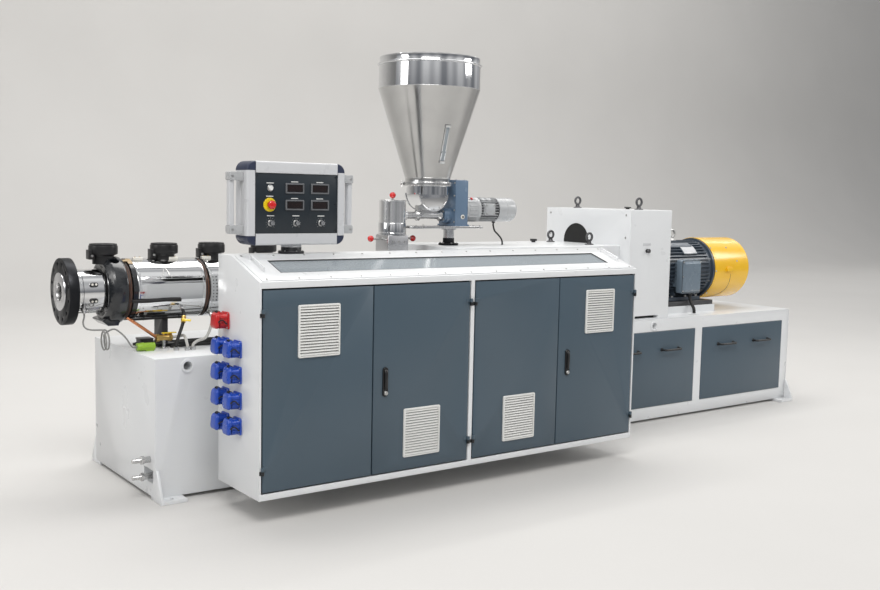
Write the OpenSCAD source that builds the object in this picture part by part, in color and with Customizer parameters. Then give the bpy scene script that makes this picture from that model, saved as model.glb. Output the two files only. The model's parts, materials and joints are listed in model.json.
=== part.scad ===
// Twin-screw plastic extruder: die end at -X, drive motor at +X, cabinet doors facing -Y.
// Millimetres. The pieces are laid out from the cabinet's left front edge on the floor,
// and the whole machine is then moved so that its box stands centred on the origin.

/* [Base] */
// Length of the welded base
base_len = 4720; // [4000:10:5200]
// How far the base runs out past the cabinet at the die end
base_overhang = 232; // [150:1:400]
// Width of the base
base_w = 834; // [760:2:1000]
// Height of the base's top above the floor
base_h = 660; // [600:5:760]
// Thickness of the foot plates, which is also the gap under the base
foot_t = 16; // [10:1:30]
// Side of a square foot plate
foot_side = 126; // [100:1:160]
// How far a foot plate stands out from the base's side
foot_out = 67; // [50:1:80]
// Height of the gusset over a foot plate
gusset_h = 130; // [60:5:200]
// Diameter of the hold-down hole in a foot plate
foot_hole_d = 18; // [14:1:24]
// Width of a lift-off side panel
side_panel_w = 866; // [700:2:900]
// Height of a lift-off side panel
side_panel_h = 486; // [400:2:520]
// Thickness of a lift-off side panel
side_panel_t = 14; // [6:1:20]
// Distance from the base's drive end to the last side panel
side_panel_end = 82; // [60:1:120]
// Width of the post between two side panels
side_panel_post = 76; // [50:1:120]
// Length of a D-handle
pull_len = 172; // [120:1:220]
// Diameter of a D-handle's bar
pull_d = 14; // [10:1:20]
// Depth of a D-handle
pull_out = 42; // [30:1:60]

/* [Cabinet] */
// Length of the electrical cabinet
cab_len = 2260; // [2000:10:2500]
// Depth of the cabinet
cab_d = 412; // [380:2:460]
// Height of the cabinet's floor above the ground
cab_z = 112; // [90:2:160]
// Height of the cabinet's front, up to the slope
cab_front_h = 936; // [800:2:1000]
// How far the slope rises
slope_rise = 95; // [60:1:120]
// How far back the slope ends
slope_back = 280; // [240:1:320]
// Free space between cabinet and base
cab_gap = 164; // [120:2:240]
// Sheet thickness of the cabinet
sheet_t = 3; // [2:0.5:5]
// Depth of the frame round the doors
rail_d = 26; // [20:1:34]
// Height of the rails under and over the doors
rail_h = 28; // [20:1:40]
// Width of the frame's end stiles
stile_w = 9; // [6:1:16]
// Width of the middle post
post_w = 22; // [16:1:40]

/* [Doors] */
// Thickness of a door
door_t = 20; // [16:1:24]
// Sheet thickness of a door's skin
door_skin = 2; // [1.5:0.5:4]
// Gap round a door
door_gap = 7; // [6:0.5:9]
// Width of a ventilation grille
grille_w = 208; // [180:2:240]
// Height of a ventilation grille
grille_h = 230; // [200:2:260]
// How far a grille stands out of its door
grille_out = 9; // [6:1:14]
// Number of slats in a grille
slat_count = 17; // [10:1:22]
// Height of a low grille's middle above the cabinet's floor
grille_low_z = 208; // [180:2:260]
// Height of a high grille's middle above the cabinet's floor
grille_high_z = 718; // [620:2:740]
// Height of the lower hinge's middle above the cabinet's floor
hinge_low_z = 130; // [90:2:200]
// Height of the upper hinge's middle above the cabinet's floor
hinge_high_z = 804; // [700:2:860]
// Diameter of a hinge pin
hinge_pin_d = 7; // [5:0.5:9]
// Outer diameter of a hinge knuckle
knuckle_d = 15; // [13:1:20]
// Height of a hinge
hinge_h = 34; // [28:1:50]
// Length of a lock handle
lock_len = 136; // [110:2:160]
// Width of a lock handle
lock_w = 28; // [22:1:36]

/* [Window] */
// Distance from the cabinet's end to the glass
glass_end = 138; // [110:2:180]
// Width of the frame under the glass, along the slope
glass_low = 84; // [60:1:100]
// Width of the glass along the slope
glass_w = 140; // [100:1:160]
// Thickness of the glass
glass_t = 5; // [4:0.5:8]
// Thickness of the window frame
lid_t = 4; // [3:0.5:8]

/* [Control panel] */
// Width of the panel's enclosure
panel_w = 500; // [440:2:560]
// Height of the panel's enclosure
panel_h = 374; // [320:2:400]
// Depth of the panel's enclosure
panel_d = 118; // [90:2:130]
// Width of the aluminium profiles round the panel's face
profile_w = 38; // [30:1:50]
// Distance from the cabinet's left end to the panel's pivot
panel_x = 330; // [300:1:380]
// Height of the swivel foot
foot_h = 40; // [34:1:60]
// Diameter of the swivel foot
swivel_d = 120; // [90:1:126]
// How far a grip stands out from the enclosure's side
grip_out = 66; // [50:1:80]
// Height of a grip
grip_h = 276; // [220:2:300]

/* [Barrel] */
// Height of the screw axis above the base
axis_h = 282; // [270:1:320]
// Distance from the cabinet's left end back to the die flange's face
die_x = 525; // [480:5:600]
// Diameter of the die flange
die_flange_d = 312; // [280:1:340]
// Thickness of the die flange
die_flange_t = 45; // [35:1:60]
// Diameter of the bolt circle on the die flange
die_pcd = 262; // [230:1:270]
// Number of bolt holes in the die flange
die_bolts = 12; // [8:1:14]
// Diameter of a bolt hole in the die flange
die_bolt_d = 18; // [14:1:22]
// Diameter of the spigot on the die flange
spigot_d = 178; // [150:1:200]
// Height of the spigot
spigot_t = 6; // [4:1:10]
// Diameter of the bore in the die flange
bore_d = 86; // [70:1:100]
// Diameter of the barrel's core
core_d = 150; // [130:1:170]
// Diameter of the front heater
heater_d = 206; // [190:1:240]
// Length of the front heater
heater_len = 140; // [110:1:160]
// Diameter of the black ring cover
ring_d = 322; // [300:1:330]
// Length of the black ring cover
ring_len = 88; // [80:1:120]
// Diameter of the polished covers
cover_d = 298; // [270:1:306]
// Length of the first polished cover
cover_len = 338; // [300:1:350]
// Length of the second polished cover
cover_2_len = 243; // [200:1:260]
// Length of the third polished cover
cover_3_len = 406; // [360:1:420]
// Width of the gap for the lead bundles between covers
bundle_gap = 24; // [20:1:36]
// Length of the black end ring in front of the first polished cover
end_ring_len = 22; // [16:1:30]
// Diameter of a zone's cooling fan
fan_d = 134; // [110:1:140]
// Height of a cooling fan
fan_h = 58; // [45:1:70]

/* [Feed] */
// Distance from the cabinet's left end to the feed throat
throat_x = 1318; // [1280:2:1380]
// Diameter of the feed tower
tower_d = 152; // [130:1:160]
// Height of the feed tower's rim above the feed screw's axis
tower_over = 85; // [70:1:110]
// Side of the block under the feed tower
block_side = 138; // [130:1:180]
// Distance from the cabinet's left end to the hopper's axis
hopper_x = 1558; // [1540:2:1620]
// Diameter of the hopper
hopper_d = 582; // [520:2:620]
// Height of the hopper's rim above the clamped joint
hopper_h = 711; // [640:1:800]
// Height of the hopper's round part
hopper_round_h = 158; // [140:2:220]
// Sheet thickness of the hopper
hopper_wall = 2.5; // [1.5:0.5:4]
// Diameter of the hopper's outlet
outlet_d = 262; // [230:2:266]
// Height of the clamped joint above the screw axis
joint_h = 544; // [530:1:580]
// Depth of the feeder's trough under the clamped joint
trough_h = 152; // [140:2:154]
// Diameter of the feed screw's tube
feed_tube_d = 42; // [36:1:50]
// Width of the feeder's gearcase along the machine
gearcase_w = 90; // [80:1:110]
// Depth of the feeder's gearcase
gearcase_d = 164; // [140:2:190]
// Height of the feeder's gearcase
gearcase_h = 262; // [240:2:280]
// Diameter of the feeder's motor
feed_motor_d = 150; // [120:2:156]
// Length of the feeder's motor
feed_motor_len = 396; // [320:2:420]
// Length of the feeder's carrying plate
feed_plate_len = 500; // [480:2:540]
// Thickness of the feeder's carrying plate
feed_plate_t = 14; // [10:1:16]

/* [Drive] */
// Height of the gearbox above the base
gearbox_h = 472; // [440:2:480]
// Width of the gearbox
gearbox_w = 660; // [600:2:700]
// Distance from the cabinet's left end to the gearbox
gearbox_x = 1560; // [1520:2:1600]
// Length of the drive cover
drive_len = 380; // [340:2:420]
// Width of the drive cover
drive_w = 776; // [700:2:780]
// Height of the drive cover above the base
drive_h = 697; // [660:1:740]
// Distance from the cabinet's left end to the drive cover
drive_x = 2845; // [2800:1:2880]
// Diameter of the opening in the drive cover
drive_hole_d = 232; // [200:2:240]
// Diameter of the motor's ribbed frame
motor_d = 404; // [380:2:410]
// Length of the motor's ribbed frame
motor_len = 670; // [640:5:720]
// Number of cooling ribs round the motor
rib_count = 48; // [24:2:60]
// Diameter of the fan cowl
cowl_d = 436; // [420:2:440]
// Length of the fan cowl
cowl_len = 387; // [360:1:420]
// Sheet thickness of the fan cowl
cowl_wall = 3; // [2:0.5:5]
// Thickness of the motor plate
motor_plate_t = 30; // [24:1:32]

/* [Hidden] */
$fn = 48;

// Places worked out from the sizes above
base_x0 = -base_overhang;
base_x1 = base_x0 + base_len;
base_y0 = cab_d + cab_gap;
base_y1 = base_y0 + base_w;
axis_y = base_y0 + base_w / 2;
axis_z = base_h + axis_h;
joint_z = axis_z + joint_h;
hopper_top = joint_z + hopper_h;
feed_screw_z = joint_z - trough_h - 28;
// The pads fill the room that the motor leaves over the base
pad_h = axis_h - motor_d / 2 - motor_plate_t - 4;
cab_front_z = cab_z + cab_front_h;
cab_top_z = cab_front_z + slope_rise;
door_z0 = cab_z + rail_h;
door_z1 = cab_front_z - rail_h;
spigot_x = -die_x - spigot_t;
lock_out = 20;
seat = 0.3;

// The machine's box, which the last shift centres on the origin
box_x = [spigot_x, base_x1];
box_y = [-lock_out, base_y1 + foot_out];
shift = [-(box_x[0] + box_x[1]) / 2, -(box_y[0] + box_y[1]) / 2, 0];

module box(low, high) {
    translate(low) cube([high[0] - low[0], high[1] - low[1], high[2] - low[2]]);
}

// A cylinder along X, along Y and up
module rod_x(x0, x1, y, z, d) {
    translate([x0, y, z]) rotate([0, 90, 0]) cylinder(h = x1 - x0, d = d);
}
module rod_y(x, y0, y1, z, d) {
    translate([x, y0, z]) rotate([-90, 0, 0]) cylinder(h = y1 - y0, d = d);
}
module rod_z(x, y, z0, z1, d) {
    translate([x, y, z0]) cylinder(h = z1 - z0, d = d);
}

// A ring along X: tube between two diameters
module tube_x(x0, x1, y, z, d, inner) {
    difference() {
        rod_x(x0, x1, y, z, d);
        rod_x(x0 - 1, x1 + 1, y, z, inner);
    }
}

// Turns a profile drawn as [radius, distance] round an axis along X through the screws
module turned_x(x, z) {
    translate([x, axis_y, z]) rotate([0, 90, 0]) rotate_extrude() children();
}

// Base

foot_xs = [base_x0, (base_x0 + base_x1 - foot_side) / 2, base_x1 - foot_side];
lift_xs = [base_x0 + 154, drive_x + drive_len / 2 + 29];
lift_z = base_h - 41;
lift_d = 42;
lift_tube_d = 62;
lift_proud = 6;
side_panel_xs = [
    base_x1 - side_panel_end - side_panel_w,
    base_x1 - side_panel_end - 2 * side_panel_w - side_panel_post,
];
side_panel_z0 = (base_h + foot_t - side_panel_h) / 2;
side_panel_proud = 4;
panel_play = 2;
hose_port_y = base_y0 + 70;
hose_port_z = [186, 108];
port_window = [[base_y0 + 34, 78], [base_y0 + 146, 140]];
port_depth = 90;
pedestal_x = [drive_x + drive_len + 15, drive_x + drive_len + motor_len - 15];
pedestal_w = 470;

// Puts its children on the front side, and mirrored on the back side of the base
module both_sides() {
    children();
    translate([0, 2 * axis_y, 0]) mirror([0, 1, 0]) children();
}

module base_foot(x, gusset_x) {
    gusset_t = 12;
    difference() {
        box([x, base_y0 - foot_out, 0], [x + foot_side, base_y0 - foot_out + foot_side, foot_t]);
        rod_z(x + foot_side / 2, base_y0 - foot_out / 2, -1, foot_t + 1, foot_hole_d);
    }
    translate([gusset_x, 0, 0]) rotate([90, 0, 90]) linear_extrude(gusset_t) polygon([
        [base_y0, foot_t - 1], [base_y0 - foot_out, foot_t - 1], [base_y0 - foot_out, foot_t + 6],
        [base_y0 - 8, foot_t + gusset_h], [base_y0, foot_t + gusset_h],
    ]);
}

module base_feet() color("whitesmoke") both_sides() {
    base_foot(foot_xs[0], foot_xs[0]);
    base_foot(foot_xs[1], foot_xs[1] + foot_side / 2 - 36);
    base_foot(foot_xs[2], foot_xs[2] + foot_side - 12);
}

module base_frame() color("whitesmoke") difference() {
    union() {
        box([base_x0, base_y0, foot_t], [base_x1, base_y1, base_h]);
        for (x = lift_xs) rod_y(x, base_y0 - lift_proud, base_y1 + lift_proud, lift_z, lift_tube_d);
        box([pedestal_x[0], axis_y - pedestal_w / 2, base_h - 1],
            [pedestal_x[1], axis_y + pedestal_w / 2, base_h + pad_h]);
    }
    for (x = lift_xs) rod_y(x, base_y0 - 20, base_y1 + 20, lift_z, lift_d);
    both_sides() for (x = side_panel_xs)
        box([x - panel_play, base_y0 - 1, side_panel_z0 - panel_play],
            [x + side_panel_w + panel_play, base_y0 + side_panel_t - side_panel_proud,
             side_panel_z0 + side_panel_h + panel_play]);
    box([base_x0 - 1, port_window[0][0], port_window[0][1]],
        [base_x0 + port_depth, port_window[1][0], port_window[1][1]]);
}

module base_panels() color("slategray") both_sides() for (x = side_panel_xs)
    box([x, base_y0 - side_panel_proud, side_panel_z0],
        [x + side_panel_w, base_y0 - side_panel_proud + side_panel_t, side_panel_z0 + side_panel_h]);

pull_pitch = 380;
pull_z = side_panel_z0 + side_panel_h / 2 + 122;

// A D-handle on a face at y, standing out towards -Y
module pull(x, y, z) {
    half = (pull_len - pull_d) / 2;
    for (side = [-1, 1]) {
        rod_y(x + side * half, y - pull_out + pull_d / 2, y, z, pull_d);
        translate([x + side * half, y - pull_out + pull_d / 2, z]) sphere(d = pull_d);
        rod_y(x + side * half, y - 5, y, z, pull_d + 10);
    }
    rod_x(x - half, x + half, y - pull_out + pull_d / 2, z, pull_d);
}

module panel_pulls() color("dimgray") both_sides() for (x = side_panel_xs, side = [-1, 1])
    pull(x + side_panel_w / 2 + side * pull_pitch / 2, base_y0 - side_panel_proud, pull_z);

// Cabinet

slope_angle = atan2(slope_rise, slope_back);
slope_len = sqrt(slope_rise * slope_rise + slope_back * slope_back);
mid_x = cab_len / 2;
glass_lap = 10;
lid_grip_d = 8;
lid_grip_h = 22;
lid_grip_ends = [glass_low + 12, glass_low + glass_w + 8];
arm_xs = [450, cab_len - 310];
arm_t = 12;

// Places children on the slope: X along it, Y up it and Z out of it
module on_slope() {
    translate([0, 0, cab_front_z]) rotate([slope_angle, 0, 0]) children();
}

module cabinet_profile(inset) {
    polygon([
        [inset, cab_z + inset], [cab_d - inset, cab_z + inset], [cab_d - inset, cab_top_z - inset],
        [slope_back, cab_top_z - inset], [inset, cab_front_z - inset],
    ]);
}

module cabinet_prism(x0, x1, inset) {
    translate([x0, 0, 0]) rotate([90, 0, 90]) linear_extrude(x1 - x0) cabinet_profile(inset);
}

module cabinet_shell() color("white") {
    difference() {
        cabinet_prism(0, cab_len, 0);
        cabinet_prism(sheet_t, cab_len - sheet_t, sheet_t);
        for (half = [[stile_w, mid_x - post_w / 2], [mid_x + post_w / 2, cab_len - stile_w]])
            box([half[0], -1, door_z0], [half[1], sheet_t + 1, door_z1]);
        on_slope() box([glass_end - glass_lap - 2, glass_low - glass_lap - 2, -12],
            [cab_len - glass_end + glass_lap + 2, glass_low + glass_w + glass_lap + 2, 12]);
    }
    box([1, 1, cab_z + 1], [cab_len - 1, rail_d, door_z0]);
    box([1, 1, door_z1], [cab_len - 1, rail_d, cab_front_z - 1]);
    for (x = [[1, stile_w], [mid_x - post_w / 2, mid_x + post_w / 2], [cab_len - stile_w, cab_len - 1]])
        box([x[0], 1, cab_z + 1], [x[1], rail_d, cab_front_z - 1]);
    // Two welded arms carry the cabinet from the base
    for (x = arm_xs) {
        translate([x, 0, 0]) rotate([90, 0, 90]) linear_extrude(arm_t) polygon([
            [70, cab_z + 0.5], [70, cab_z - 12], [base_y0 - seat, foot_t + 24],
            [base_y0 - seat, cab_z + 90], [cab_d - 0.5, cab_z + 90], [cab_d - 0.5, cab_z + 0.5],
        ]);
    }
}

module window_lid() color("white") {
    on_slope() difference() {
        box([14, 8, seat], [cab_len - 14, slope_len - 6, lid_t]);
        box([glass_end, glass_low, -1], [cab_len - glass_end, glass_low + glass_w, lid_t + 1]);
    }
    // Low bow handles at both ends
    for (x = [62, cab_len - 62]) on_slope() {
        for (s = lid_grip_ends) {
            rod_z(x, s, lid_t - 1, lid_t + lid_grip_h, lid_grip_d);
            translate([x, s, lid_t + lid_grip_h]) sphere(d = lid_grip_d);
        }
        rod_y(x, lid_grip_ends[0], lid_grip_ends[1], lid_t + lid_grip_h, lid_grip_d);
    }
}

module window_glass() color("lightsteelblue") on_slope()
    box([glass_end - glass_lap, glass_low - glass_lap, -glass_t],
        [cab_len - glass_end + glass_lap, glass_low + glass_w + glass_lap, 0]);

// Doors: two in each half, hinged at the cabinet's ends and at the middle post

bay_w = mid_x - post_w / 2 - stile_w;
door_w = (bay_w - 3 * door_gap) / 2;
door_xs = [
    stile_w + door_gap, stile_w + 2 * door_gap + door_w,
    mid_x + post_w / 2 + door_gap, mid_x + post_w / 2 + 2 * door_gap + door_w,
];
door_low = door_z0 + door_gap;
door_high = door_z1 - door_gap;
// Side of each door that carries its hinges: -1 left, 1 right
hinge_side = [-1, 1, -1, 1];
grille_zs = [cab_z + grille_high_z, cab_z + grille_low_z, cab_z + grille_low_z, cab_z + grille_high_z];
grille_shift = [-4, -1, 18, 16];
hinge_zs = [cab_z + hinge_low_z, cab_z + hinge_high_z];
leaf_t = 3;
leaf_w = 22;
hinge_y = -knuckle_d / 2;

function hinge_x(k) = hinge_side[k] < 0 ? door_xs[k] - door_gap / 2 : door_xs[k] + door_w + door_gap / 2;
function grille_x(k) = door_xs[k] + door_w / 2 + grille_shift[k];

module door(k) color("slategray") {
    x0 = door_xs[k];
    x1 = x0 + door_w;
    vent_w = grille_w - 24;
    vent_h = grille_h - 24;
    difference() {
        box([x0, 0, door_low], [x1, door_t, door_high]);
        box([x0 + door_skin, door_skin, door_low + door_skin],
            [x1 - door_skin, door_t + 1, door_high - door_skin]);
        box([grille_x(k) - vent_w / 2, -1, grille_zs[k] - vent_h / 2],
            [grille_x(k) + vent_w / 2, door_skin + 1, grille_zs[k] + vent_h / 2]);
    }
    side = -hinge_side[k];
    for (z = hinge_zs) difference() {
        union() {
            rod_z(hinge_x(k), hinge_y, z + 0.5, z + hinge_h / 2, knuckle_d);
            box([min(hinge_x(k), hinge_x(k) + side * (leaf_w + door_gap / 2)), -leaf_t, z + 0.5],
                [max(hinge_x(k), hinge_x(k) + side * (leaf_w + door_gap / 2)), 0, z + hinge_h / 2]);
        }
        rod_z(hinge_x(k), hinge_y, z - 1, z + hinge_h, hinge_pin_d + 0.2);
    }
}

// The cabinet's half of every hinge, with its pin
module door_hinges() color("black") for (k = [0:3], z = hinge_zs) {
    side = hinge_side[k];
    far = hinge_x(k) + side * (k == 1 || k == 2 ? post_w / 2 - 1 + door_gap / 2 : stile_w + door_gap / 2);
    rod_z(hinge_x(k), hinge_y, z - hinge_h / 2, z, knuckle_d);
    box([min(hinge_x(k), far), -leaf_t, z - hinge_h / 2], [max(hinge_x(k), far), 0, z]);
    rod_z(hinge_x(k), hinge_y, z - 1, z + hinge_h / 2 - 1, hinge_pin_d);
}

module grille(k) color("ivory") {
    border = 13;
    pitch = (grille_h - 2 * border) / slat_count;
    x0 = grille_x(k) - grille_w / 2;
    x1 = grille_x(k) + grille_w / 2;
    z0 = grille_zs[k] - grille_h / 2;
    z1 = grille_zs[k] + grille_h / 2;
    difference() {
        box([x0, -grille_out, z0], [x1, 0, z1]);
        box([x0 + border, -grille_out - 1, z0 + border], [x1 - border, 1, z1 - border]);
    }
    for (i = [0:slat_count - 1])
        translate([x0 + border - 1, 0, z0 + border + i * pitch]) rotate([90, 0, 90])
            linear_extrude(grille_w - 2 * border + 2) polygon([
                [-grille_out + 1, 0.5], [-grille_out + 1, 2.5], [-0.5, pitch - 0.5], [-0.5, pitch - 2.5],
            ]);
}

lock_inset = 62;
lock_z = door_low + 0.49 * (door_high - door_low);

// Swing handle with its push button at the lower end
module door_lock(k) color("black") {
    x = door_xs[k] + lock_inset;
    box([x - lock_w / 2, -9, lock_z - lock_len / 2], [x + lock_w / 2, 0, lock_z + lock_len / 2]);
    box([x - lock_w / 2 + 5, -20, lock_z - lock_len / 2 + 34],
        [x + lock_w / 2 - 5, -9, lock_z + lock_len / 2 - 6]);
    rod_y(x, -16, -9, lock_z - lock_len / 2 + 17, 20);
}

// Power sockets on the cabinet's left end

socket_flange = 76;
socket_pitch_y = 124;
socket_pitch_z = 113;
socket_y = cab_d - 82;
socket_z = cab_z + 290;
socket_body = 62;
socket_depth = 24;
lid_side = 70;

// A square with well rounded corners, standing up from the origin
module rounded_block(side, h) intersection() {
    translate([-side / 2, -side / 2, 0]) cube([side, side, h]);
    cylinder(h = h, d = side * 1.22);
}

module power_socket(y, z) translate([0, y, z]) {
    rotate([0, -90, 0]) {
        rounded_block(socket_flange, 7);
        rounded_block(socket_body, socket_depth);
        // Ribs along the body's top and flanks
        for (a = [0 : 90 : 270], i = [-1, 0, 1]) rotate([0, 0, a])
            translate([socket_body / 2 - 2, i * 15 - 3, 0]) cube([5, 6, socket_depth - 4]);
    }
    // Spring lid, a little askew on its hinge
    translate([1 - socket_depth, 0, socket_body / 2]) rotate([0, 4, 0]) {
        translate([0, 0, -socket_body / 2]) rotate([0, -90, 0]) rounded_block(lid_side, 16);
        rod_y(0, -20, 20, 3, 14);
    }
    // Catch on the side towards the doors
    box([-socket_depth - 8, -44, -9], [-8, -30, 7]);
}

module blue_sockets() color("royalblue") for (row = [0:3], col = [0, 1])
    power_socket(socket_y - col * socket_pitch_y, socket_z + row * socket_pitch_z);

module red_socket() color("crimson") power_socket(socket_y, socket_z + 4 * socket_pitch_z);

// Control panel on its swivel foot

panel_y = (slope_back + cab_d) / 2;
panel_z0 = cab_top_z + foot_h + 2;
panel_z1 = panel_z0 + panel_h;
panel_x0 = panel_x - panel_w / 2;
panel_x1 = panel_x + panel_w / 2;
panel_y0 = panel_y - panel_d / 2;
panel_y1 = panel_y + panel_d / 2;
face_inset = 5;
cap_w = 42;
grip_w = 26;
grip_z = (panel_z0 + panel_z1) / 2;

module panel_foot() color("black") {
    rod_z(panel_x, panel_y, cab_top_z, cab_top_z + 12, swivel_d);
    rod_z(panel_x, panel_y, cab_top_z + 11, cab_top_z + foot_h - 10, swivel_d - 26);
}

module panel_outline(y0, y1) {
    translate([0, y1, 0]) rotate([90, 0, 0]) linear_extrude(y1 - y0) polygon([
        [panel_x0 + cap_w, panel_z0], [panel_x1 - cap_w, panel_z0],
        [panel_x1, panel_z0 + cap_w], [panel_x1, panel_z1 - cap_w],
        [panel_x1 - cap_w, panel_z1], [panel_x0 + cap_w, panel_z1],
        [panel_x0, panel_z1 - cap_w], [panel_x0, panel_z0 + cap_w],
    ]);
}

module panel_box() color("silver") {
    difference() {
        union() {
            box([panel_x0 + cap_w, panel_y0, panel_z0], [panel_x1 - cap_w, panel_y1, panel_z1]);
            box([panel_x0, panel_y0, panel_z0 + cap_w], [panel_x1, panel_y1, panel_z1 - cap_w]);
        }
        box([panel_x0 + profile_w, panel_y0 - 1, panel_z0 + profile_w + 14],
            [panel_x1 - profile_w, panel_y0 + face_inset + 4, panel_z1 - profile_w - 14]);
    }
    rod_z(panel_x, panel_y, cab_top_z + foot_h - 9.5, panel_z0, swivel_d - 26);
}

module panel_face() color("darkslategray")
    box([panel_x0 + profile_w + 0.5, panel_y0 + face_inset, panel_z0 + profile_w + 14.5],
        [panel_x1 - profile_w - 0.5, panel_y0 + face_inset + 4, panel_z1 - profile_w - 14.5]);

module panel_caps() color("midnightblue") for (sx = [-1, 1], sz = [-1, 1]) {
    x = sx < 0 ? panel_x0 : panel_x1;
    z = sz < 0 ? panel_z0 : panel_z1;
    intersection() {
        box([min(x, x - sx * cap_w), panel_y0 + 1, min(z, z - sz * cap_w)],
            [max(x, x - sx * cap_w), panel_y1, max(z, z - sz * cap_w)]);
        translate([x - sx * cap_w, panel_y1 + 1, z - sz * cap_w]) rotate([90, 0, 0])
            cylinder(h = panel_d + 2, r = cap_w);
    }
}

module panel_grips() color("gainsboro") for (side = [-1, 1]) {
    x = side < 0 ? panel_x0 : panel_x1;
    far = x + side * grip_out;
    near_bar = far - side * grip_w;
    for (z = [grip_z - grip_h / 2, grip_z + grip_h / 2 - 40])
        box([min(x, far), panel_y - 24, z], [max(x, far), panel_y + 24, z + 40]);
    box([min(near_bar, far), panel_y - 16, grip_z - grip_h / 2 + 39],
        [max(near_bar, far), panel_y + 16, grip_z + grip_h / 2 - 39]);
}

face_y = panel_y0 + face_inset;
meter_w = 94;
meter_h = 47;
meter_xs = [panel_x - 0.026 * panel_w, panel_x + 0.234 * panel_w];
meter_zs = [panel_z0 + 0.484 * panel_h, panel_z0 + 0.684 * panel_h];
knob_xs = [panel_x - 0.266 * panel_w, meter_xs[0] + 7, meter_xs[1] + 7];
knob_z = panel_z0 + 0.265 * panel_h;
stop_z = meter_zs[0];
button_z = meter_zs[1];

module panel_meters() color("black") for (x = meter_xs, z = meter_zs)
    box([x - meter_w / 2, face_y - 7, z - meter_h / 2], [x + meter_w / 2, face_y, z + meter_h / 2]);

module panel_switches() color("firebrick") {
    for (x = knob_xs) {
        rod_y(x, face_y - 6, face_y, knob_z, 29);
        rod_y(x, face_y - 24, face_y - 5, knob_z, 22);
    }
    // Stop button with its collar, turned as one mushroom
    translate([knob_xs[0] - 5, face_y, stop_z]) rotate([90, 0, 0]) rotate_extrude() polygon([
        [0, 0], [31, 0], [31, 3], [29, 5], [13, 5], [13, 17], [19, 19], [20, 22], [20, 27], [17, 31],
        [10, 32.5], [0, 33],
    ]);
    rod_y(knob_xs[0] - 3, face_y - 12, face_y, button_z, 30);
}

// Barrel, drawn along the screw axis from the die end

flange_x1 = -die_x + die_flange_t;
heater_x1 = flange_x1 + heater_len;
ring_x1 = heater_x1 + ring_len;
end_ring_x0 = ring_x1 + bundle_gap;
cover_1_x0 = end_ring_x0 + end_ring_len;
cover_2_x0 = cover_1_x0 + cover_len + bundle_gap;
cover_3_x0 = cover_2_x0 + cover_2_len + bundle_gap;
cover_xs = [
    [cover_1_x0, cover_1_x0 + cover_len],
    [cover_2_x0, cover_2_x0 + cover_2_len],
    [cover_3_x0, cover_3_x0 + cover_3_len],
    [cover_3_x0 + cover_3_len + bundle_gap, throat_x - block_side / 2 - 40],
];
bundle_xs = [for (x = [end_ring_x0, cover_2_x0, cover_3_x0, cover_xs[3][0]]) x - bundle_gap / 2];
fan_xs = [heater_x1 + 17, cover_1_x0 + 182, cover_2_x0 + 68, cover_3_x0 + 92];
fan_z0 = axis_z + cover_d / 2 + 14;
rear_flange_x0 = gearbox_x - 52;
rear_flange_d = 330;
throat_block = 240;

module barrel() color("dimgray") difference() {
    union() {
        rod_x(flange_x1, gearbox_x, axis_y, axis_z, core_d);
        rod_x(rear_flange_x0, gearbox_x, axis_y, axis_z, rear_flange_d);
        // Feed zone block round the throat
        box([throat_x - block_side / 2 - 38, axis_y - throat_block / 2, axis_z - throat_block / 2],
            [rear_flange_x0 + 1, axis_y + throat_block / 2, axis_z + throat_block / 2]);
    }
    rod_x(flange_x1 - 1, flange_x1 + 100, axis_y, axis_z, bore_d);
}

probe_x = flange_x1 + heater_len / 4 + 2;
probe_y = axis_y - 88;
probe_z = axis_z - 96;

module die_flange() color("darkslategray") difference() {
    union() {
        rod_x(-die_x, flange_x1, axis_y, axis_z, die_flange_d);
        rod_x(spigot_x, -die_x + 1, axis_y, axis_z, spigot_d);
    }
    rod_x(spigot_x - 1, flange_x1 + 1, axis_y, axis_z, bore_d);
    for (i = [0:die_bolts - 1]) {
        a = (i + 0.5) * 360 / die_bolts;
        r = die_pcd / 2;
        rod_x(-die_x - 1, flange_x1 + 1, axis_y + r * cos(a), axis_z + r * sin(a), die_bolt_d);
    }
}

module front_heater() color("silver") {
    tube_x(flange_x1, heater_x1 - seat, axis_y, axis_z, heater_d, core_d + 2 * seat);
    // Temperature probe on the flank
    rod_z(probe_x, probe_y, probe_z, axis_z - 42, 16);
    rod_z(probe_x, probe_y, probe_z + 14, probe_z + 24, 24, $fn = 6);
}

// Air shroud: a turned ring with an outlet lip below and a sight hole on top
module ring_cover() color("black") {
    r = ring_d / 2;
    difference() {
        turned_x(heater_x1, axis_z) polygon([
            [core_d / 2 + seat, 20], [heater_d / 2 + 5, 20], [r - 38, 0], [r - 28, 0], [r - 4, 18], [r, 27],
            [r, ring_len - 14], [r - 3, ring_len - 4], [r - 9, ring_len], [core_d / 2 + seat, ring_len],
        ]);
        translate([heater_x1 + 45, axis_y, axis_z]) rotate([27, 0, 0]) cylinder(h = r + 20, d = 44);
    }
    translate([0, axis_y + 74, 0]) rotate([90, 0, 0]) linear_extrude(148) polygon([
        [heater_x1 + 6, axis_z - r + 32],
        [heater_x1 - 12, axis_z - r + 26], [heater_x1 - 14, axis_z - r + 20],
        [heater_x1 + 14, axis_z - r - 3], [heater_x1 + 62, axis_z - r - 3], [heater_x1 + 74, axis_z - r + 26],
    ]);
    // End ring in front of the first polished cover, behind the first lead bundle
    tube_x(end_ring_x0, cover_1_x0, axis_y, axis_z, cover_d, core_d + 2 * seat);
}

module barrel_covers() color("gainsboro") for (span = cover_xs)
    tube_x(span[0], span[1], axis_y, axis_z, cover_d, core_d + 2 * seat);

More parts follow.
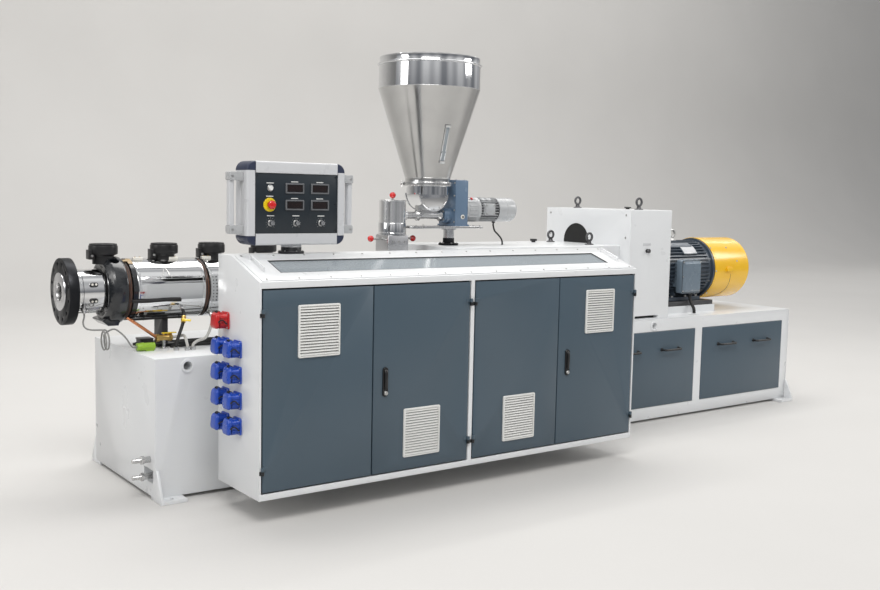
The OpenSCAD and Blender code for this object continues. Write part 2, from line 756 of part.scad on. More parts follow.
// Lead bundles wound round the barrel between the covers
module lead_bundles() color("black") {
    bundle_d = bundle_gap - 2 * seat;
    for (x = bundle_xs) turned_x(x, axis_z)
        translate([cover_d / 2 - bundle_d / 2 - 2, 0]) circle(d = bundle_d);
    // Leads laid along the first cover's front flank, from one bundle towards the next
    for (run = [[17, 0.62], [64, 0.74]]) {
        lead_d = 13;
        r = cover_d / 2 + lead_d / 2 + seat;
        translate([bundle_xs[0], axis_y, axis_z]) rotate([90 + run[0], 0, 0]) {
            translate([0, 0, r]) rotate([0, 90, 0])
                cylinder(h = bundle_gap / 2 + end_ring_len + run[1] * cover_len, d = lead_d);
            translate([-6, 0, r - 12]) rotate([0, 90, 0]) cylinder(h = 12, d = 36);
        }
    }
    // Low duct on the base that takes the leads in
    box([duct_x, duct_y, base_h], [duct_x + 62, duct_y + 62, base_h + 46]);
    box([duct_x - 3, duct_y - 3, base_h + 45], [duct_x + 65, duct_y + 65, base_h + 52]);
}

module barrel_fans() color("black") for (i = [0:3]) {
    under_d = i == 0 ? ring_d : cover_d;
    waist_d = fan_d - 34;
    difference() {
        union() {
            translate([fan_xs[i], axis_y, fan_z0]) rotate_extrude() polygon([
                [0, -40], [waist_d / 2, -40], [waist_d / 2, 2], [fan_d / 2 - 5, 6], [fan_d / 2, 12],
                [fan_d / 2, fan_h - 10], [fan_d / 2 - 3, fan_h - 7], [fan_d / 2 - 3, fan_h], [0, fan_h],
            ]);
            // Terminal block on the side towards the die
            box([fan_xs[i] - fan_d / 2 - 7, axis_y - 26, fan_z0 - 16], [fan_xs[i], axis_y + 26, fan_z0 + 30]);
        }
        rod_x(fan_xs[i] - fan_d, fan_xs[i] + fan_d, axis_y, axis_z, under_d + 2 * seat);
        rod_z(fan_xs[i], axis_y, fan_z0 + fan_h - 12, fan_z0 + fan_h + 1, fan_d - 14);
    }
}

support_xs = [cover_1_x0 + 165, cover_3_x0 + 267];
support_w = 110;
support_foot = 150;

module barrel_supports() color("dimgray") for (x = support_xs) difference() {
    union() {
        box([x - 14, axis_y - support_w / 2, base_h],
            [x + 14, axis_y + support_w / 2, axis_z - cover_d / 2 + 20]);
        box([x - 44, axis_y - support_foot / 2, base_h], [x + 44, axis_y + support_foot / 2, base_h + 16]);
    }
    rod_x(x - 60, x + 60, axis_y, axis_z, cover_d + 2 * seat);
}

// Feed tower over the throat

block_z1 = axis_z + 252;
tower_z1 = feed_screw_z + tower_over;
tower_collar = 14;

module feed_tower() color("silver") {
    box([throat_x - block_side / 2, axis_y - block_side / 2, axis_z + 120],
        [throat_x + block_side / 2, axis_y + block_side / 2, block_z1]);
    // Turned tower: foot ring, barrel and rim
    translate([throat_x, axis_y, block_z1]) rotate_extrude() polygon([
        [0, -1], [tower_d / 2 + 3, -1], [tower_d / 2 + 3, 70], [tower_d / 2, 74],
        [tower_d / 2, tower_z1 - block_z1 - 8], [tower_d / 2 + 3, tower_z1 - block_z1 - 5],
        [tower_d / 2 + 3, tower_z1 - block_z1], [0, tower_z1 - block_z1],
    ]);
    rod_x(throat_x, throat_x + tower_d / 2 + tower_collar, axis_y, feed_screw_z, feed_tube_d + 16);
}

knob_d = 36;

// A ball on a stem, standing up from the origin
module ball_knob(stem) {
    cylinder(h = stem, d = 12);
    translate([0, 0, stem + knob_d / 2 - 3]) sphere(d = knob_d);
}

module tower_knobs() color("red") {
    translate([throat_x, axis_y, tower_z1]) ball_knob(12);
    for (side = [-1, 1]) translate([throat_x + side * block_side / 2, axis_y, block_z1 - 20])
        rotate([0, side * 90, 0]) ball_knob(59);
}

// Gearbox and the feeder's stand

gearbox_z1 = base_h + gearbox_h;

rib_start = 40;
rib_pitch = 240;
rib_end = 60;

module gearbox() color("whitesmoke") {
    y0 = axis_y - gearbox_w / 2;
    y1 = axis_y + gearbox_w / 2;
    box([gearbox_x, y0 + 30, base_h], [drive_x, y1 - 30, gearbox_z1]);
    box([gearbox_x, y0, base_h], [drive_x, y1, base_h + 34]);
    box([gearbox_x, y0, axis_z - 20], [drive_x, y1, axis_z + 20]);
    for (x = [gearbox_x + rib_start : rib_pitch : drive_x - rib_end])
        box([x, y0 + 6, base_h], [x + 18, y1 - 6, gearbox_z1 - 26]);
}

column_off = 160;
column_d = 64;
column_foot_d = 118;
column_foot_t = 12;
plate_drop = 60;
plate_start = 88;
plate_w = 180;
column_x = hopper_x + column_off;
plate_z1 = feed_screw_z - plate_drop;
plate_x0 = throat_x + plate_start;

module feeder_stand() color("lightgray") {
    rod_z(column_x, axis_y, gearbox_z1, gearbox_z1 + column_foot_t, column_foot_d);
    rod_z(column_x, axis_y, gearbox_z1 + column_foot_t - 1, plate_z1 - feed_plate_t + 1, column_d);
    box([plate_x0, axis_y - plate_w / 2, plate_z1 - feed_plate_t],
        [plate_x0 + feed_plate_len, axis_y + plate_w / 2, plate_z1]);
}

// Hopper and feeder

cone_z1 = hopper_top - hopper_round_h - 17;
cone_z0 = joint_z + 34;
ferrule_r = outlet_d / 2 + 6;
bead_z = hopper_top - 40;

module hopper() color("silver") translate([hopper_x, axis_y, 0]) {
    r = hopper_d / 2;
    o = outlet_d / 2;
    w = hopper_wall;
    rotate_extrude($fn = 96) polygon([
        [o, joint_z], [ferrule_r, joint_z], [ferrule_r, joint_z + 5], [o + 0.1, joint_z + 9], [o, cone_z0],
        [r, cone_z1], [r, bead_z], [r - 4, bead_z + 4], [r - 4, hopper_top], [r - 4 - w, hopper_top],
        [r - 4 - w, bead_z + 3], [r - w, bead_z - 1], [r - w, cone_z1 + 1],
        [o - w, cone_z0 + 1], [o - w, joint_z],
    ]);
    translate([0, 0, bead_z]) rotate_extrude($fn = 96) translate([r + 3, 0]) circle(d = 11, $fn = 24);
}

module hopper_clamp() color("gray") translate([hopper_x, axis_y, 0]) {
    difference() {
        translate([0, 0, joint_z - 12]) cylinder(h = 24, r = ferrule_r + 5);
        translate([0, 0, joint_z - 13]) cylinder(h = 26, r = ferrule_r + seat);
    }
    // Clamp screw with its wing nut
    rotate([0, 0, 150]) {
        translate([ferrule_r + 5, -11, joint_z - 12]) cube([16, 22, 24]);
        translate([ferrule_r + 13, 8, joint_z]) rotate([-90, 0, 0]) cylinder(h = 30, d = 8);
        translate([ferrule_r + 13, 26, joint_z - 22]) rotate([0, 0, 0]) cube([6, 6, 44]);
    }
}

sight_z0 = 1612;
sight_z1 = 1808;
sight_turn = -97;

// Long sight glass down the cone's slope
module sight_glass() color("lightcyan") {
    lean = atan2(hopper_d / 2 - outlet_d / 2, cone_z1 - cone_z0);
    z = (sight_z0 + sight_z1) / 2;
    r = outlet_d / 2 + (z - cone_z0) * tan(lean);
    difference() {
        translate([hopper_x, axis_y, z]) rotate([0, 0, sight_turn]) translate([r, 0, 0])
            rotate([0, lean, 0]) translate([-8, -17, -112]) cube([22, 34, 224]);
        translate([hopper_x, axis_y, cone_z0]) cylinder(h = cone_z1 - cone_z0, $fn = 96,
            r1 = outlet_d / 2 + 1.1 * seat, r2 = hopper_d / 2 + 1.1 * seat);
    }
}

trough_d = 200;
trough_x = hopper_x - 4;
trough_len = 132;
nose_x0 = column_x - 58;
gearcase_x0 = nose_x0 + 44;

module feeder_trough() color("silver") {
    trough_z = joint_z - trough_h + trough_d / 2;
    // Turned neck under the clamped joint
    translate([hopper_x, axis_y, 0]) rotate_extrude() polygon([
        [0, trough_z - 9], [outlet_d / 2 - 9, trough_z - 9], [outlet_d / 2 - 9, joint_z - 14],
        [outlet_d / 2, joint_z - 10], [ferrule_r, joint_z - 5],
        [ferrule_r, joint_z - seat], [0, joint_z - seat],
    ]);
    // Half-round trough with its end plates
    difference() {
        union() {
            rod_y(trough_x, axis_y - trough_len / 2, axis_y + trough_len / 2, trough_z, trough_d);
            for (side = [-1, 1]) {
                y = axis_y + side * (trough_len / 2 + 3.5);
                rod_y(trough_x, y - 4.5, y + 4.5, trough_z, trough_d + 8);
            }
        }
        box([trough_x - trough_d, axis_y - trough_d, trough_z],
            [trough_x + trough_d, axis_y + trough_d, trough_z + trough_d]);
    }
    rod_x(throat_x + tower_d / 2 + tower_collar, nose_x0, axis_y, feed_screw_z, feed_tube_d);
    box([trough_x - 70, axis_y - 16, feed_screw_z], [trough_x + 70, axis_y + 16, trough_z - 60]);
    for (x = [trough_x - 72, nose_x0 - 22]) rod_x(x, x + 16, axis_y, feed_screw_z, feed_tube_d + 22);
}

motor_axis_z = plate_z1 + feed_motor_d / 2 + 22;
lead_x = gearcase_x0 + gearcase_w + 262;
lead_z = motor_axis_z - feed_motor_d / 2 - 6;

module feeder_gearcase() color("slategray") {
    box([gearcase_x0, axis_y - gearcase_d / 2, plate_z1],
        [gearcase_x0 + gearcase_w, axis_y + gearcase_d / 2, plate_z1 + gearcase_h + 6]);
    box([gearcase_x0 - 6, axis_y - gearcase_d / 2 - 6, plate_z1],
        [gearcase_x0 + gearcase_w + 8, axis_y + gearcase_d / 2 + 6, plate_z1 + 10]);
    rod_x(nose_x0, gearcase_x0 + 1, axis_y, feed_screw_z, 96);
}

module feeder_motor() color("gainsboro") {
    x0 = gearcase_x0 + gearcase_w;
    r = feed_motor_d / 2;
    translate([x0, axis_y, motor_axis_z]) rotate([0, 90, 0]) rotate_extrude() polygon([
        [0, 0], [r + 10, 0], [r + 10, 12], [r - 6, 16], [r - 4, 88], [r, 92], [r, 112], [r - 9, 116],
        [r - 9, 248], [r - 2, 252],
        [r - 2, feed_motor_len - 24], [r - 22, feed_motor_len], [0, feed_motor_len],
    ]);
    for (a = [0 : 20 : 340]) translate([x0 + 120, axis_y, motor_axis_z]) rotate([a, 0, 0])
        translate([0, -1.5, r - 12]) cube([124, 3, 9]);
    rod_z(lead_x, axis_y, lead_z, motor_axis_z - r + 12, 22);
}

// Drive cover, motor and cowl

drive_x1 = drive_x + drive_len;
drive_z1 = base_h + drive_h;
drive_hole_y = axis_y + 98;
drive_hole_z = axis_z + 200;

module drive_cover() color("white") difference() {
    box([drive_x, axis_y - drive_w / 2, base_h], [drive_x1, axis_y + drive_w / 2, drive_z1]);
    rod_x(drive_x - 1, drive_x + 90, drive_hole_y, drive_hole_z, drive_hole_d);
    box([drive_x - 1, axis_y - drive_w / 2 - 1, base_h + 6],
        [drive_x + 285, axis_y - drive_w / 2 + 40, base_h + 24]);
}

// Eye bolt standing on a face at z, its ring across the machine
module eye_bolt(x, y, z, ring) {
    rod_z(x, y, z, z + 6, ring * 0.9);
    rod_z(x, y, z, z + ring * 0.35, ring * 0.45);
    translate([x, y, z + ring * 0.28 + ring / 2]) rotate([90, 0, 0])
        rotate_extrude() translate([ring * 0.38, 0]) circle(d = ring * 0.24, $fn = 24);
}

eye_ring = 62;
breather_d = 46;
cover_eye_x = drive_x + drive_len / 2 - 7;
gearbox_eye_x = drive_x - 150;
motor_eye_x = drive_x1 + 0.676 * motor_len;

module lifting_eyes() color("dimgray") {
    for (side = [-1, 1]) eye_bolt(cover_eye_x, axis_y + side * (drive_w / 2 - 107), drive_z1, eye_ring);
    for (side = [-1, 1]) eye_bolt(gearbox_eye_x, axis_y + side * (gearbox_w / 2 - 150), gearbox_z1, eye_ring);
    // Breather caps
    rod_z(drive_x1 - 120, axis_y - 110, drive_z1, drive_z1 + 16, breather_d);
    rod_z(gearbox_eye_x - 150, axis_y + gearbox_w / 2 - 150, gearbox_z1, gearbox_z1 + 22, breather_d);
}

motor_x0 = drive_x1;
motor_x1 = motor_x0 + motor_len;
plate_top = base_h + pad_h + motor_plate_t;
box_x0 = motor_x0 + 0.41 * motor_len;

module motor_frame() color("slategray") {
    rib_h = 18;
    core_r = motor_d / 2 - rib_h;
    rod_x(motor_x0, motor_x1, axis_y, axis_z, 2 * core_r);
    rod_x(motor_x0, motor_x0 + 46, axis_y, axis_z, motor_d - 10);
    rod_x(motor_x1 - 40, motor_x1, axis_y, axis_z, motor_d - 10);
    rod_x(motor_x1 - 14, motor_x1, axis_y, axis_z, cowl_d - 8);
    for (i = [0:rib_count - 1]) translate([motor_x0 + 40, axis_y, axis_z]) rotate([i * 360 / rib_count, 0, 0])
        translate([0, -2.5, core_r - 4]) cube([motor_len - 70, 5, rib_h + 4]);
    rail_y = 0.36 * motor_d;
    for (side = [-1, 1]) {
        box([motor_x0 + 90, axis_y + side * rail_y - 40, plate_top],
            [motor_x1 - 110, axis_y + side * rail_y + 40, plate_top + 26]);
        y = axis_y + side * (rail_y - 13);
        for (x = [motor_x0 + 110 : (motor_len - 260) / 2 : motor_x1 - 140])
            box([x, y - 26, plate_top + 20], [x + 16, y + 26, axis_z - 110]);
    }
    box([box_x0 + 10, axis_y - motor_d / 2 - 4, axis_z - 112],
        [box_x0 + box_w - 10, axis_y - motor_d / 2 + 60, axis_z + 62]);
    eye_bolt(motor_eye_x, axis_y, axis_z + motor_d / 2 - 4, motor_eye_ring);
}

motor_eye_ring = 64;
box_w = 196;
box_h = 228;
box_z0 = axis_z - 148;
gland_x = box_x0 + 118;
gland_y = axis_y - motor_d / 2 - 32;
gland_z = box_z0 - 16;

// Drawn from above: a deep tray and a lid with bevelled flanks
module terminal_box() color("lightslategray") {
    y1 = axis_y - motor_d / 2 - 4;
    translate([box_x0, 0, box_z0]) linear_extrude(box_h) polygon([
        [0, y1], [0, y1 - 44], [6, y1 - 50], [box_w - 6, y1 - 50], [box_w, y1 - 44], [box_w, y1],
    ]);
    translate([box_x0, 0, box_z0 + 8]) linear_extrude(box_h - 16) polygon([
        [8, y1 - 49], [8, y1 - 54], [24, y1 - 66],
        [box_w - 24, y1 - 66], [box_w - 8, y1 - 54], [box_w - 8, y1 - 49],
    ]);
    rod_z(gland_x, gland_y, gland_z, box_z0 + 1, 30);
    rod_z(gland_x, gland_y, gland_z + 4, gland_z + 12, 36, $fn = 6);
}

module motor_cowl() color("gold") {
    r = cowl_d / 2;
    w = cowl_wall;
    turned_x(motor_x1 + seat, axis_z) polygon([
        [r - w, 0], [r, 0], [r, cowl_len - 26], [r - 26, cowl_len], [0, cowl_len],
        [0, cowl_len - w], [r - 27, cowl_len - w], [r - w, cowl_len - 28],
        [r - w, w], [120, w], [120, 0],
    ]);
    lug_x = motor_x1 + 115;
    box([lug_x, axis_y - r - 18, axis_z - 14], [lug_x + 62, axis_y - r + 1, axis_z + 14]);
}

module motor_plate() color("dimgray")
    box([pedestal_x[0] + 8, axis_y - pedestal_w / 2 + 12, base_h + pad_h],
        [pedestal_x[1] - 8, axis_y + pedestal_w / 2 - 12, plate_top]);

// Coolant fittings at the die end

duct_x = base_x0 + 48;
duct_y = base_y0 + 310;
valve_x = [base_x0 + 120, base_x0 + 200];
valve_y = axis_y - 113;
valve_z = base_h + 52;
glands = [[30, 767], [2, 767], [-45, 790]];
gland_h = 16;
nipples = [[cover_1_x0 + 220, 35], [cover_2_x0 + 22, 53]];
plug_x = [base_x0 + 13, base_x0 + 98];
plug_y = base_y0 + 264;
plug_d = 36;
plug_z = base_h + plug_d / 2 + 3;

// A round bar from one point to another
module bar(from, to, d) {
    along = to - from;
    translate(from) rotate([0, acos(along[2] / norm(along)), atan2(along[1], along[0])])
        cylinder(h = norm(along), d = d);
}

module coolant_fittings() color("silver") {
    for (z = hose_port_z) {
        back = z < 150 ? port_depth : 0;
        rod_x(base_x0 - 34, base_x0 + back, hose_port_y, z, 30);
        rod_x(base_x0 - 84, base_x0 - 33, hose_port_y, z, 22);
        rod_x(base_x0 - 44, base_x0 - 30, hose_port_y, z, 40, $fn = 6);
    }
    // Ball valve on its post, with the straight pipe that comes down from the ring cover
    rod_x(valve_x[0], valve_x[1], valve_y, valve_z, 28);
    for (x = [valve_x[0], valve_x[1] - 18]) rod_x(x, x + 18, valve_y, valve_z, 38, $fn = 6);
    rod_z((valve_x[0] + valve_x[1]) / 2, valve_y, base_h, valve_z, 16);
    rod_z((valve_x[0] + valve_x[1]) / 2, valve_y, base_h, base_h + 6, 40);
    rod_z((valve_x[0] + valve_x[1]) / 2, valve_y, valve_z, valve_z + 24, 10);
    box([valve_x[0] + 30, valve_y - 7, valve_z + 20], [valve_x[1] + 22, valve_y + 7, valve_z + 25]);
    difference() {
        bar([ring_x1 + 6, valve_y + 16, axis_z - 124], [valve_x[0] + 6, valve_y, valve_z + 2], 15);
        rod_x(heater_x1, ring_x1 + 20, axis_y, axis_z, ring_d + 2 * seat);
    }
    // Glands in the base's top and hose nipples under the covers
    for (g = glands) rod_z(g[0], g[1], base_h, base_h + gland_h, 26);
    for (n = nipples) translate([n[0], axis_y, axis_z]) rotate([90 + n[1], 0, 0]) {
        difference() {
            union() {
                cylinder(h = cover_d / 2 + 20, d = 18);
                cylinder(h = cover_d / 2 + 9, d = 26, $fn = 6);
            }
            rod_x(-40, 40, 0, 0, cover_d + 2 * seat);
        }
    }
}

// Round plug on the base's top that takes the probe's lead
module probe_plug() color("darkgreen") {
    rod_x(plug_x[0], plug_x[1], plug_y, plug_z, plug_d);
    rod_x(plug_x[0] + 16, plug_x[0] + 34, plug_y, plug_z, plug_d + 4);
    box([plug_x[0] + 38, plug_y - 15, base_h], [plug_x[1] - 6, plug_y + 15, plug_z]);
}

// Cords: points chosen by hand along the route. Those inside over_base() stand on the base's top.

function over_base(points) = [for (p = points) p + [0, 0, base_h]];

function unit(v) = v / norm(v);
function heading(points, k) = unit(points[min(k + 1, len(points) - 1)] - points[max(k - 1, 0)]);

// A side vector for every point, carried along so that the tube never twists
function carried(points, side, k = 0) = k == len(points) ? [] :
    let (t = heading(points, k), w = unit(side - (side * t) * t)) concat([w], carried(points, w, k + 1));

function tube_ring(p, t, u, r, n) = let (v = cross(u, t))
    [for (i = [0:n - 1]) p + r * (cos(i * 360 / n) * u + sin(i * 360 / n) * v)];

// Sweeps a tube of n sides along a list of points
module cord(points, d, n = 8) {
    count = len(points);
    first = heading(points, 0);
    us = carried(points, norm(cross(first, [0, 0, 1])) > 0.1 ? cross(first, [0, 0, 1]) : [0, 1, 0]);
    rings = [for (i = [0:count - 1]) each tube_ring(points[i], heading(points, i), us[i], d / 2, n)];
    polyhedron(
        points = rings,
        faces = concat(
            [[for (i = [0:n - 1]) i]],
            [for (k = [0:count - 2], i = [0:n - 1])
                let (a = k * n + i, b = k * n + (i + 1) % n) each [[a, a + n, b + n], [a, b + n, b]]],
            [[for (i = [n - 1:-1:0]) (count - 1) * n + i]]));
}

// The probe's spare lead hangs as a coil over the base's end
coil_x = base_x0 - 120;
coil_y = base_y0 + 290;
coil_z = base_h + 62;
coil_r = 46;
coil_pitch = 14;
coil_step = 30;
coil_turn = 660;

module probe_lead() color("gray") cord(concat(
    [[probe_x, probe_y, probe_z], [probe_x, probe_y, probe_z - 18]],
    over_base([[-450, 900, 142], [-444, 890, 120], [-420, 880, 110]]),
    [for (a = [0 : coil_step : coil_turn])
        [coil_x - coil_pitch * (1.5 - a / 360), coil_y - coil_r * sin(a), coil_z + coil_r * cos(a)]],
    over_base([[-320, 866, 110], [-292, 850, 92], [-268, 842, 64], [-252, 840, 38], [-238, 840, 22]]),
    [[plug_x[0] - 8, plug_y, plug_z], [plug_x[0], plug_y, plug_z]]), 8);
module feeder_lead() color("gray") cord([
    [lead_x, axis_y, lead_z], [lead_x, axis_y, lead_z - 16],
    between([lead_x, axis_y, lead_z], lead_end, 0.37, [-10, 5, 0]),
    between([lead_x, axis_y, lead_z], lead_end, 0.55, [0, -2, 0]),
    between([lead_x, axis_y, lead_z], lead_end, 0.74, [7, -6, 0]),
    lead_end + [0, 0, 12], lead_end,
], 10);
module motor_lead() color("black") cord([
    [gland_x, gland_y, gland_z], [gland_x, gland_y, gland_z - 22],
    between([gland_x, gland_y, gland_z], motor_lead_end, 0.35, [0, 6, 0]),
    between([gland_x, gland_y, gland_z], motor_lead_end, 0.54, [0, 1, 0]),
    between([gland_x, gland_y, gland_z], motor_lead_end, 0.70, [0, -6, 0]),
    motor_lead_end + [0, 0, 16], motor_lead_end,
], 21);
module coolant_hose_1() color("white") cord(concat(
    [nipple_end(1, 20), nipple_end(1, 34)],
    over_base([[176, 872, 128], [164, 858, 104], [146, 838, 78], [122, 814, 56], [94, 792, 46], [66, 776, 44],
        [42, 768, 36],
        [glands[0][0], glands[0][1], gland_h + 8], [glands[0][0], glands[0][1], gland_h]])), 14);
module coolant_hose_2() color("white") cord(concat(
    [[valve_x[1], valve_y, valve_z], [valve_x[1] + 16, valve_y, valve_z]],
    over_base([[-2, 876, 54], [8, 864, 58], [11, 844, 62], [9, 820, 62], [5, 796, 54], [2, 778, 40],
        [glands[1][0], glands[1][1], gland_h + 8], [glands[1][0], glands[1][1], gland_h]])), 14);
module coolant_hose_3() color("black") cord(concat(
    [nipple_end(0, 20), nipple_end(0, 36)],
    over_base([[10, 828, 164], [4, 818, 140], [-8, 810, 110], [-24, 802, 76], [-38, 794, 46],
        [glands[2][0], glands[2][1], gland_h + 8], [glands[2][0], glands[2][1], gland_h]])), 16);

lead_end = [lead_x + 42, axis_y - 39, gearbox_z1];
motor_lead_end = [gland_x - 3, gland_y - 44, base_h];

// A place a share of the way from one point to another, moved aside by off
function between(from, to, share, off) = from + share * (to - from) + off;

// A point in front of a hose nipple, at a distance from the cover
function nipple_end(k, out) = let (a = 90 + nipples[k][1], r = cover_d / 2 + out)
    [nipples[k][0], axis_y - r * sin(a), axis_z + r * cos(a)];

module placed() {
    translate(shift) children();
}

placed() base_frame();
placed() base_feet();
placed() base_panels();
placed() panel_pulls();
placed() cabinet_shell();
placed() window_lid();
placed() window_glass();
placed() door(0);  // door_1
placed() door(1);  // door_2
placed() door(2);  // door_3
placed() door(3);  // door_4
placed() grille(0);  // grille_1
placed() grille(1);  // grille_2
placed() grille(2);  // grille_3
placed() grille(3);  // grille_4
placed() door_lock(1);  // lock_2
placed() door_lock(3);  // lock_4
placed() door_hinges();
placed() red_socket();
placed() blue_sockets();
placed() panel_box();
placed() panel_face();
placed() panel_caps();
placed() panel_meters();
placed() panel_switches();
placed() panel_grips();
placed() panel_foot();
placed() barrel();
placed() die_flange();
placed() front_heater();
placed() ring_cover();
placed() barrel_covers();
placed() lead_bundles();
placed() barrel_fans();
placed() barrel_supports();
placed() feed_tower();
placed() tower_knobs();
placed() gearbox();
placed() feeder_stand();
placed() hopper();
placed() hopper_clamp();
placed() sight_glass();
placed() feeder_trough();
placed() feeder_gearcase();
placed() feeder_motor();
placed() drive_cover();
placed() lifting_eyes();
placed() motor_frame();
placed() terminal_box();
placed() motor_cowl();
placed() motor_plate();
placed() coolant_fittings();
placed() probe_plug();
placed() probe_lead();
placed() feeder_lead();
placed() motor_lead();
placed() coolant_hose_1();
placed() coolant_hose_2();
placed() coolant_hose_3();
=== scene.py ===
import json
import random
from functools import partial
from math import atan2, cos, hypot, pi, radians, sin, tan

import bmesh
import bpy
from mathutils import Matrix, Vector

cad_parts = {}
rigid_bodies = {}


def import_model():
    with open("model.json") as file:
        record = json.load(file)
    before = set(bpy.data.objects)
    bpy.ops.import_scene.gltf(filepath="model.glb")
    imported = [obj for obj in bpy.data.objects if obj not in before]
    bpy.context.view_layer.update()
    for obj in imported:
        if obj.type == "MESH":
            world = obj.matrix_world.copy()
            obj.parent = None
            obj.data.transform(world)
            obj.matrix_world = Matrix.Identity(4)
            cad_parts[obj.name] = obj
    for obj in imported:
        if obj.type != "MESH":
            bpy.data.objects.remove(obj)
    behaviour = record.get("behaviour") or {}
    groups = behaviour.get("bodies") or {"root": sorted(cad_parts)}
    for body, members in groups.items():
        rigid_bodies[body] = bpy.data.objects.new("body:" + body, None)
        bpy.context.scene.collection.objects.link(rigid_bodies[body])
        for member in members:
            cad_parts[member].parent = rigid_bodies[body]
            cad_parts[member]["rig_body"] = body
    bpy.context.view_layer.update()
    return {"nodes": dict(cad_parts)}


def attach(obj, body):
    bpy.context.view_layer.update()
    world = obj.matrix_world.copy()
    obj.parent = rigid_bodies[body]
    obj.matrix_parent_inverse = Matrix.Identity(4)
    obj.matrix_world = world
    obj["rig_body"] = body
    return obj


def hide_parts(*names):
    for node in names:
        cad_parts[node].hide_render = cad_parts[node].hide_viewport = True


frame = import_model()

scene = bpy.context.scene
nodes = frame["nodes"]
print("frame loaded:", len(nodes), "nodes")

# Sizes below are in millimetres from the cabinet's front left corner on the floor, as in the part's source
corner = Vector((-1.9785, -0.7285, 0.0))
toFrame = Matrix.Translation(corner) @ Matrix.Scale(0.001, 4)


def place(points):
    return [toFrame @ Vector(p) for p in points]


# Camera, solved from the photograph's edges

cameraSetup = {
    "eye": (-1934.3, -3884.1, 1426.6),
    "yaw": 36.425,
    "pitch": 5.551,
    "roll": 1.203,
    "focalPixels": 1032.0,
    "imageWidth": 880.0,
}


def addCamera(setup):
    yaw, pitch, roll = (radians(setup[k]) for k in ("yaw", "pitch", "roll"))
    ahead = Vector((sin(yaw) * cos(pitch), cos(yaw) * cos(pitch), -sin(pitch)))
    level = Vector((cos(yaw), -sin(yaw), 0.0))
    up = level.cross(ahead)
    right = cos(roll) * level + sin(roll) * up
    top = -sin(roll) * level + cos(roll) * up
    data = bpy.data.cameras.new("camera")
    data.sensor_width = 36.0
    data.lens = setup["focalPixels"] / setup["imageWidth"] * data.sensor_width
    data.clip_end = 60.0
    camera = bpy.data.objects.new("camera", data)
    scene.collection.objects.link(camera)
    turn = Matrix((right, top, -ahead)).transposed().to_4x4()
    camera.matrix_world = Matrix.Translation(place([setup["eye"]])[0]) @ turn
    scene.camera = camera


addCamera(cameraSetup)
print("camera placed")


# Shader nodes

def feed(tree, socket, value):
    # The value is a plain one, an output, or a node whose first output is meant
    if isinstance(value, bpy.types.Node):
        value = value.outputs[0]
    if isinstance(value, bpy.types.NodeSocket):
        tree.links.new(value, socket)
    else:
        socket.default_value = value


def addNode(tree, kind, inputs=None, **settings):
    node = tree.nodes.new(kind)
    for name, value in settings.items():
        setattr(node, name, value)
    for name, value in (inputs or {}).items():
        feed(tree, node.inputs[name], value)
    return node


def mathNode(tree, operation, first, second=0.0, clamp=False):
    return addNode(tree, "ShaderNodeMath", {0: first, 1: second}, operation=operation, use_clamp=clamp)


def plus(tree, first, second, clamp=False):
    return mathNode(tree, "ADD", first, second, clamp)


def minus(tree, first, second):
    return mathNode(tree, "SUBTRACT", first, second)


def times(tree, first, second, clamp=False):
    return mathNode(tree, "MULTIPLY", first, second, clamp)


def mixColour(tree, factor, first, second, blend="MIX"):
    node = tree.nodes.new("ShaderNodeMix")
    node.data_type = "RGBA"
    node.blend_type = blend
    for index, value in ((0, factor), (6, first), (7, second)):
        feed(tree, node.inputs[index], value)
    return node.outputs[2]


def mapRange(tree, value, low, high, newLow=0.0, newHigh=1.0):
    return addNode(tree, "ShaderNodeMapRange", {0: value, 1: low, 2: high, 3: newLow, 4: newHigh})


def noiseNode(tree, vector, scale, detail=3.0, roughness=0.5):
    return addNode(tree, "ShaderNodeTexNoise", {"Vector": vector, "Scale": scale, "Detail": detail,
        "Roughness": roughness})


def objectCoords(tree):
    return addNode(tree, "ShaderNodeTexCoord").outputs["Object"]


def facingUp(tree):
    normal = addNode(tree, "ShaderNodeNewGeometry").outputs["Normal"]
    return addNode(tree, "ShaderNodeSeparateXYZ", {0: normal}).outputs["Z"]


colourKind, floatKind, vectorKind = "NodeSocketColor", "NodeSocketFloat", "NodeSocketVector"
intKind, materialKind, geometryKind = "NodeSocketInt", "NodeSocketMaterial", "NodeSocketGeometry"


def newTree(name, kind, inputs, outputs):
    tree = bpy.data.node_groups.new(name, kind)
    for label, socketKind, value in inputs:
        socket = tree.interface.new_socket(label, in_out="INPUT", socket_type=socketKind)
        if value is not None:
            socket.default_value = value
    for label, socketKind in outputs:
        tree.interface.new_socket(label, in_out="OUTPUT", socket_type=socketKind)
    return tree, tree.nodes.new("NodeGroupInput").outputs, tree.nodes.new("NodeGroupOutput").inputs


def shaderGroup(name, inputs):
    return newTree(name, "ShaderNodeTree", inputs, [("Colour", colourKind), ("Roughness", floatKind),
        ("Height", floatKind)])


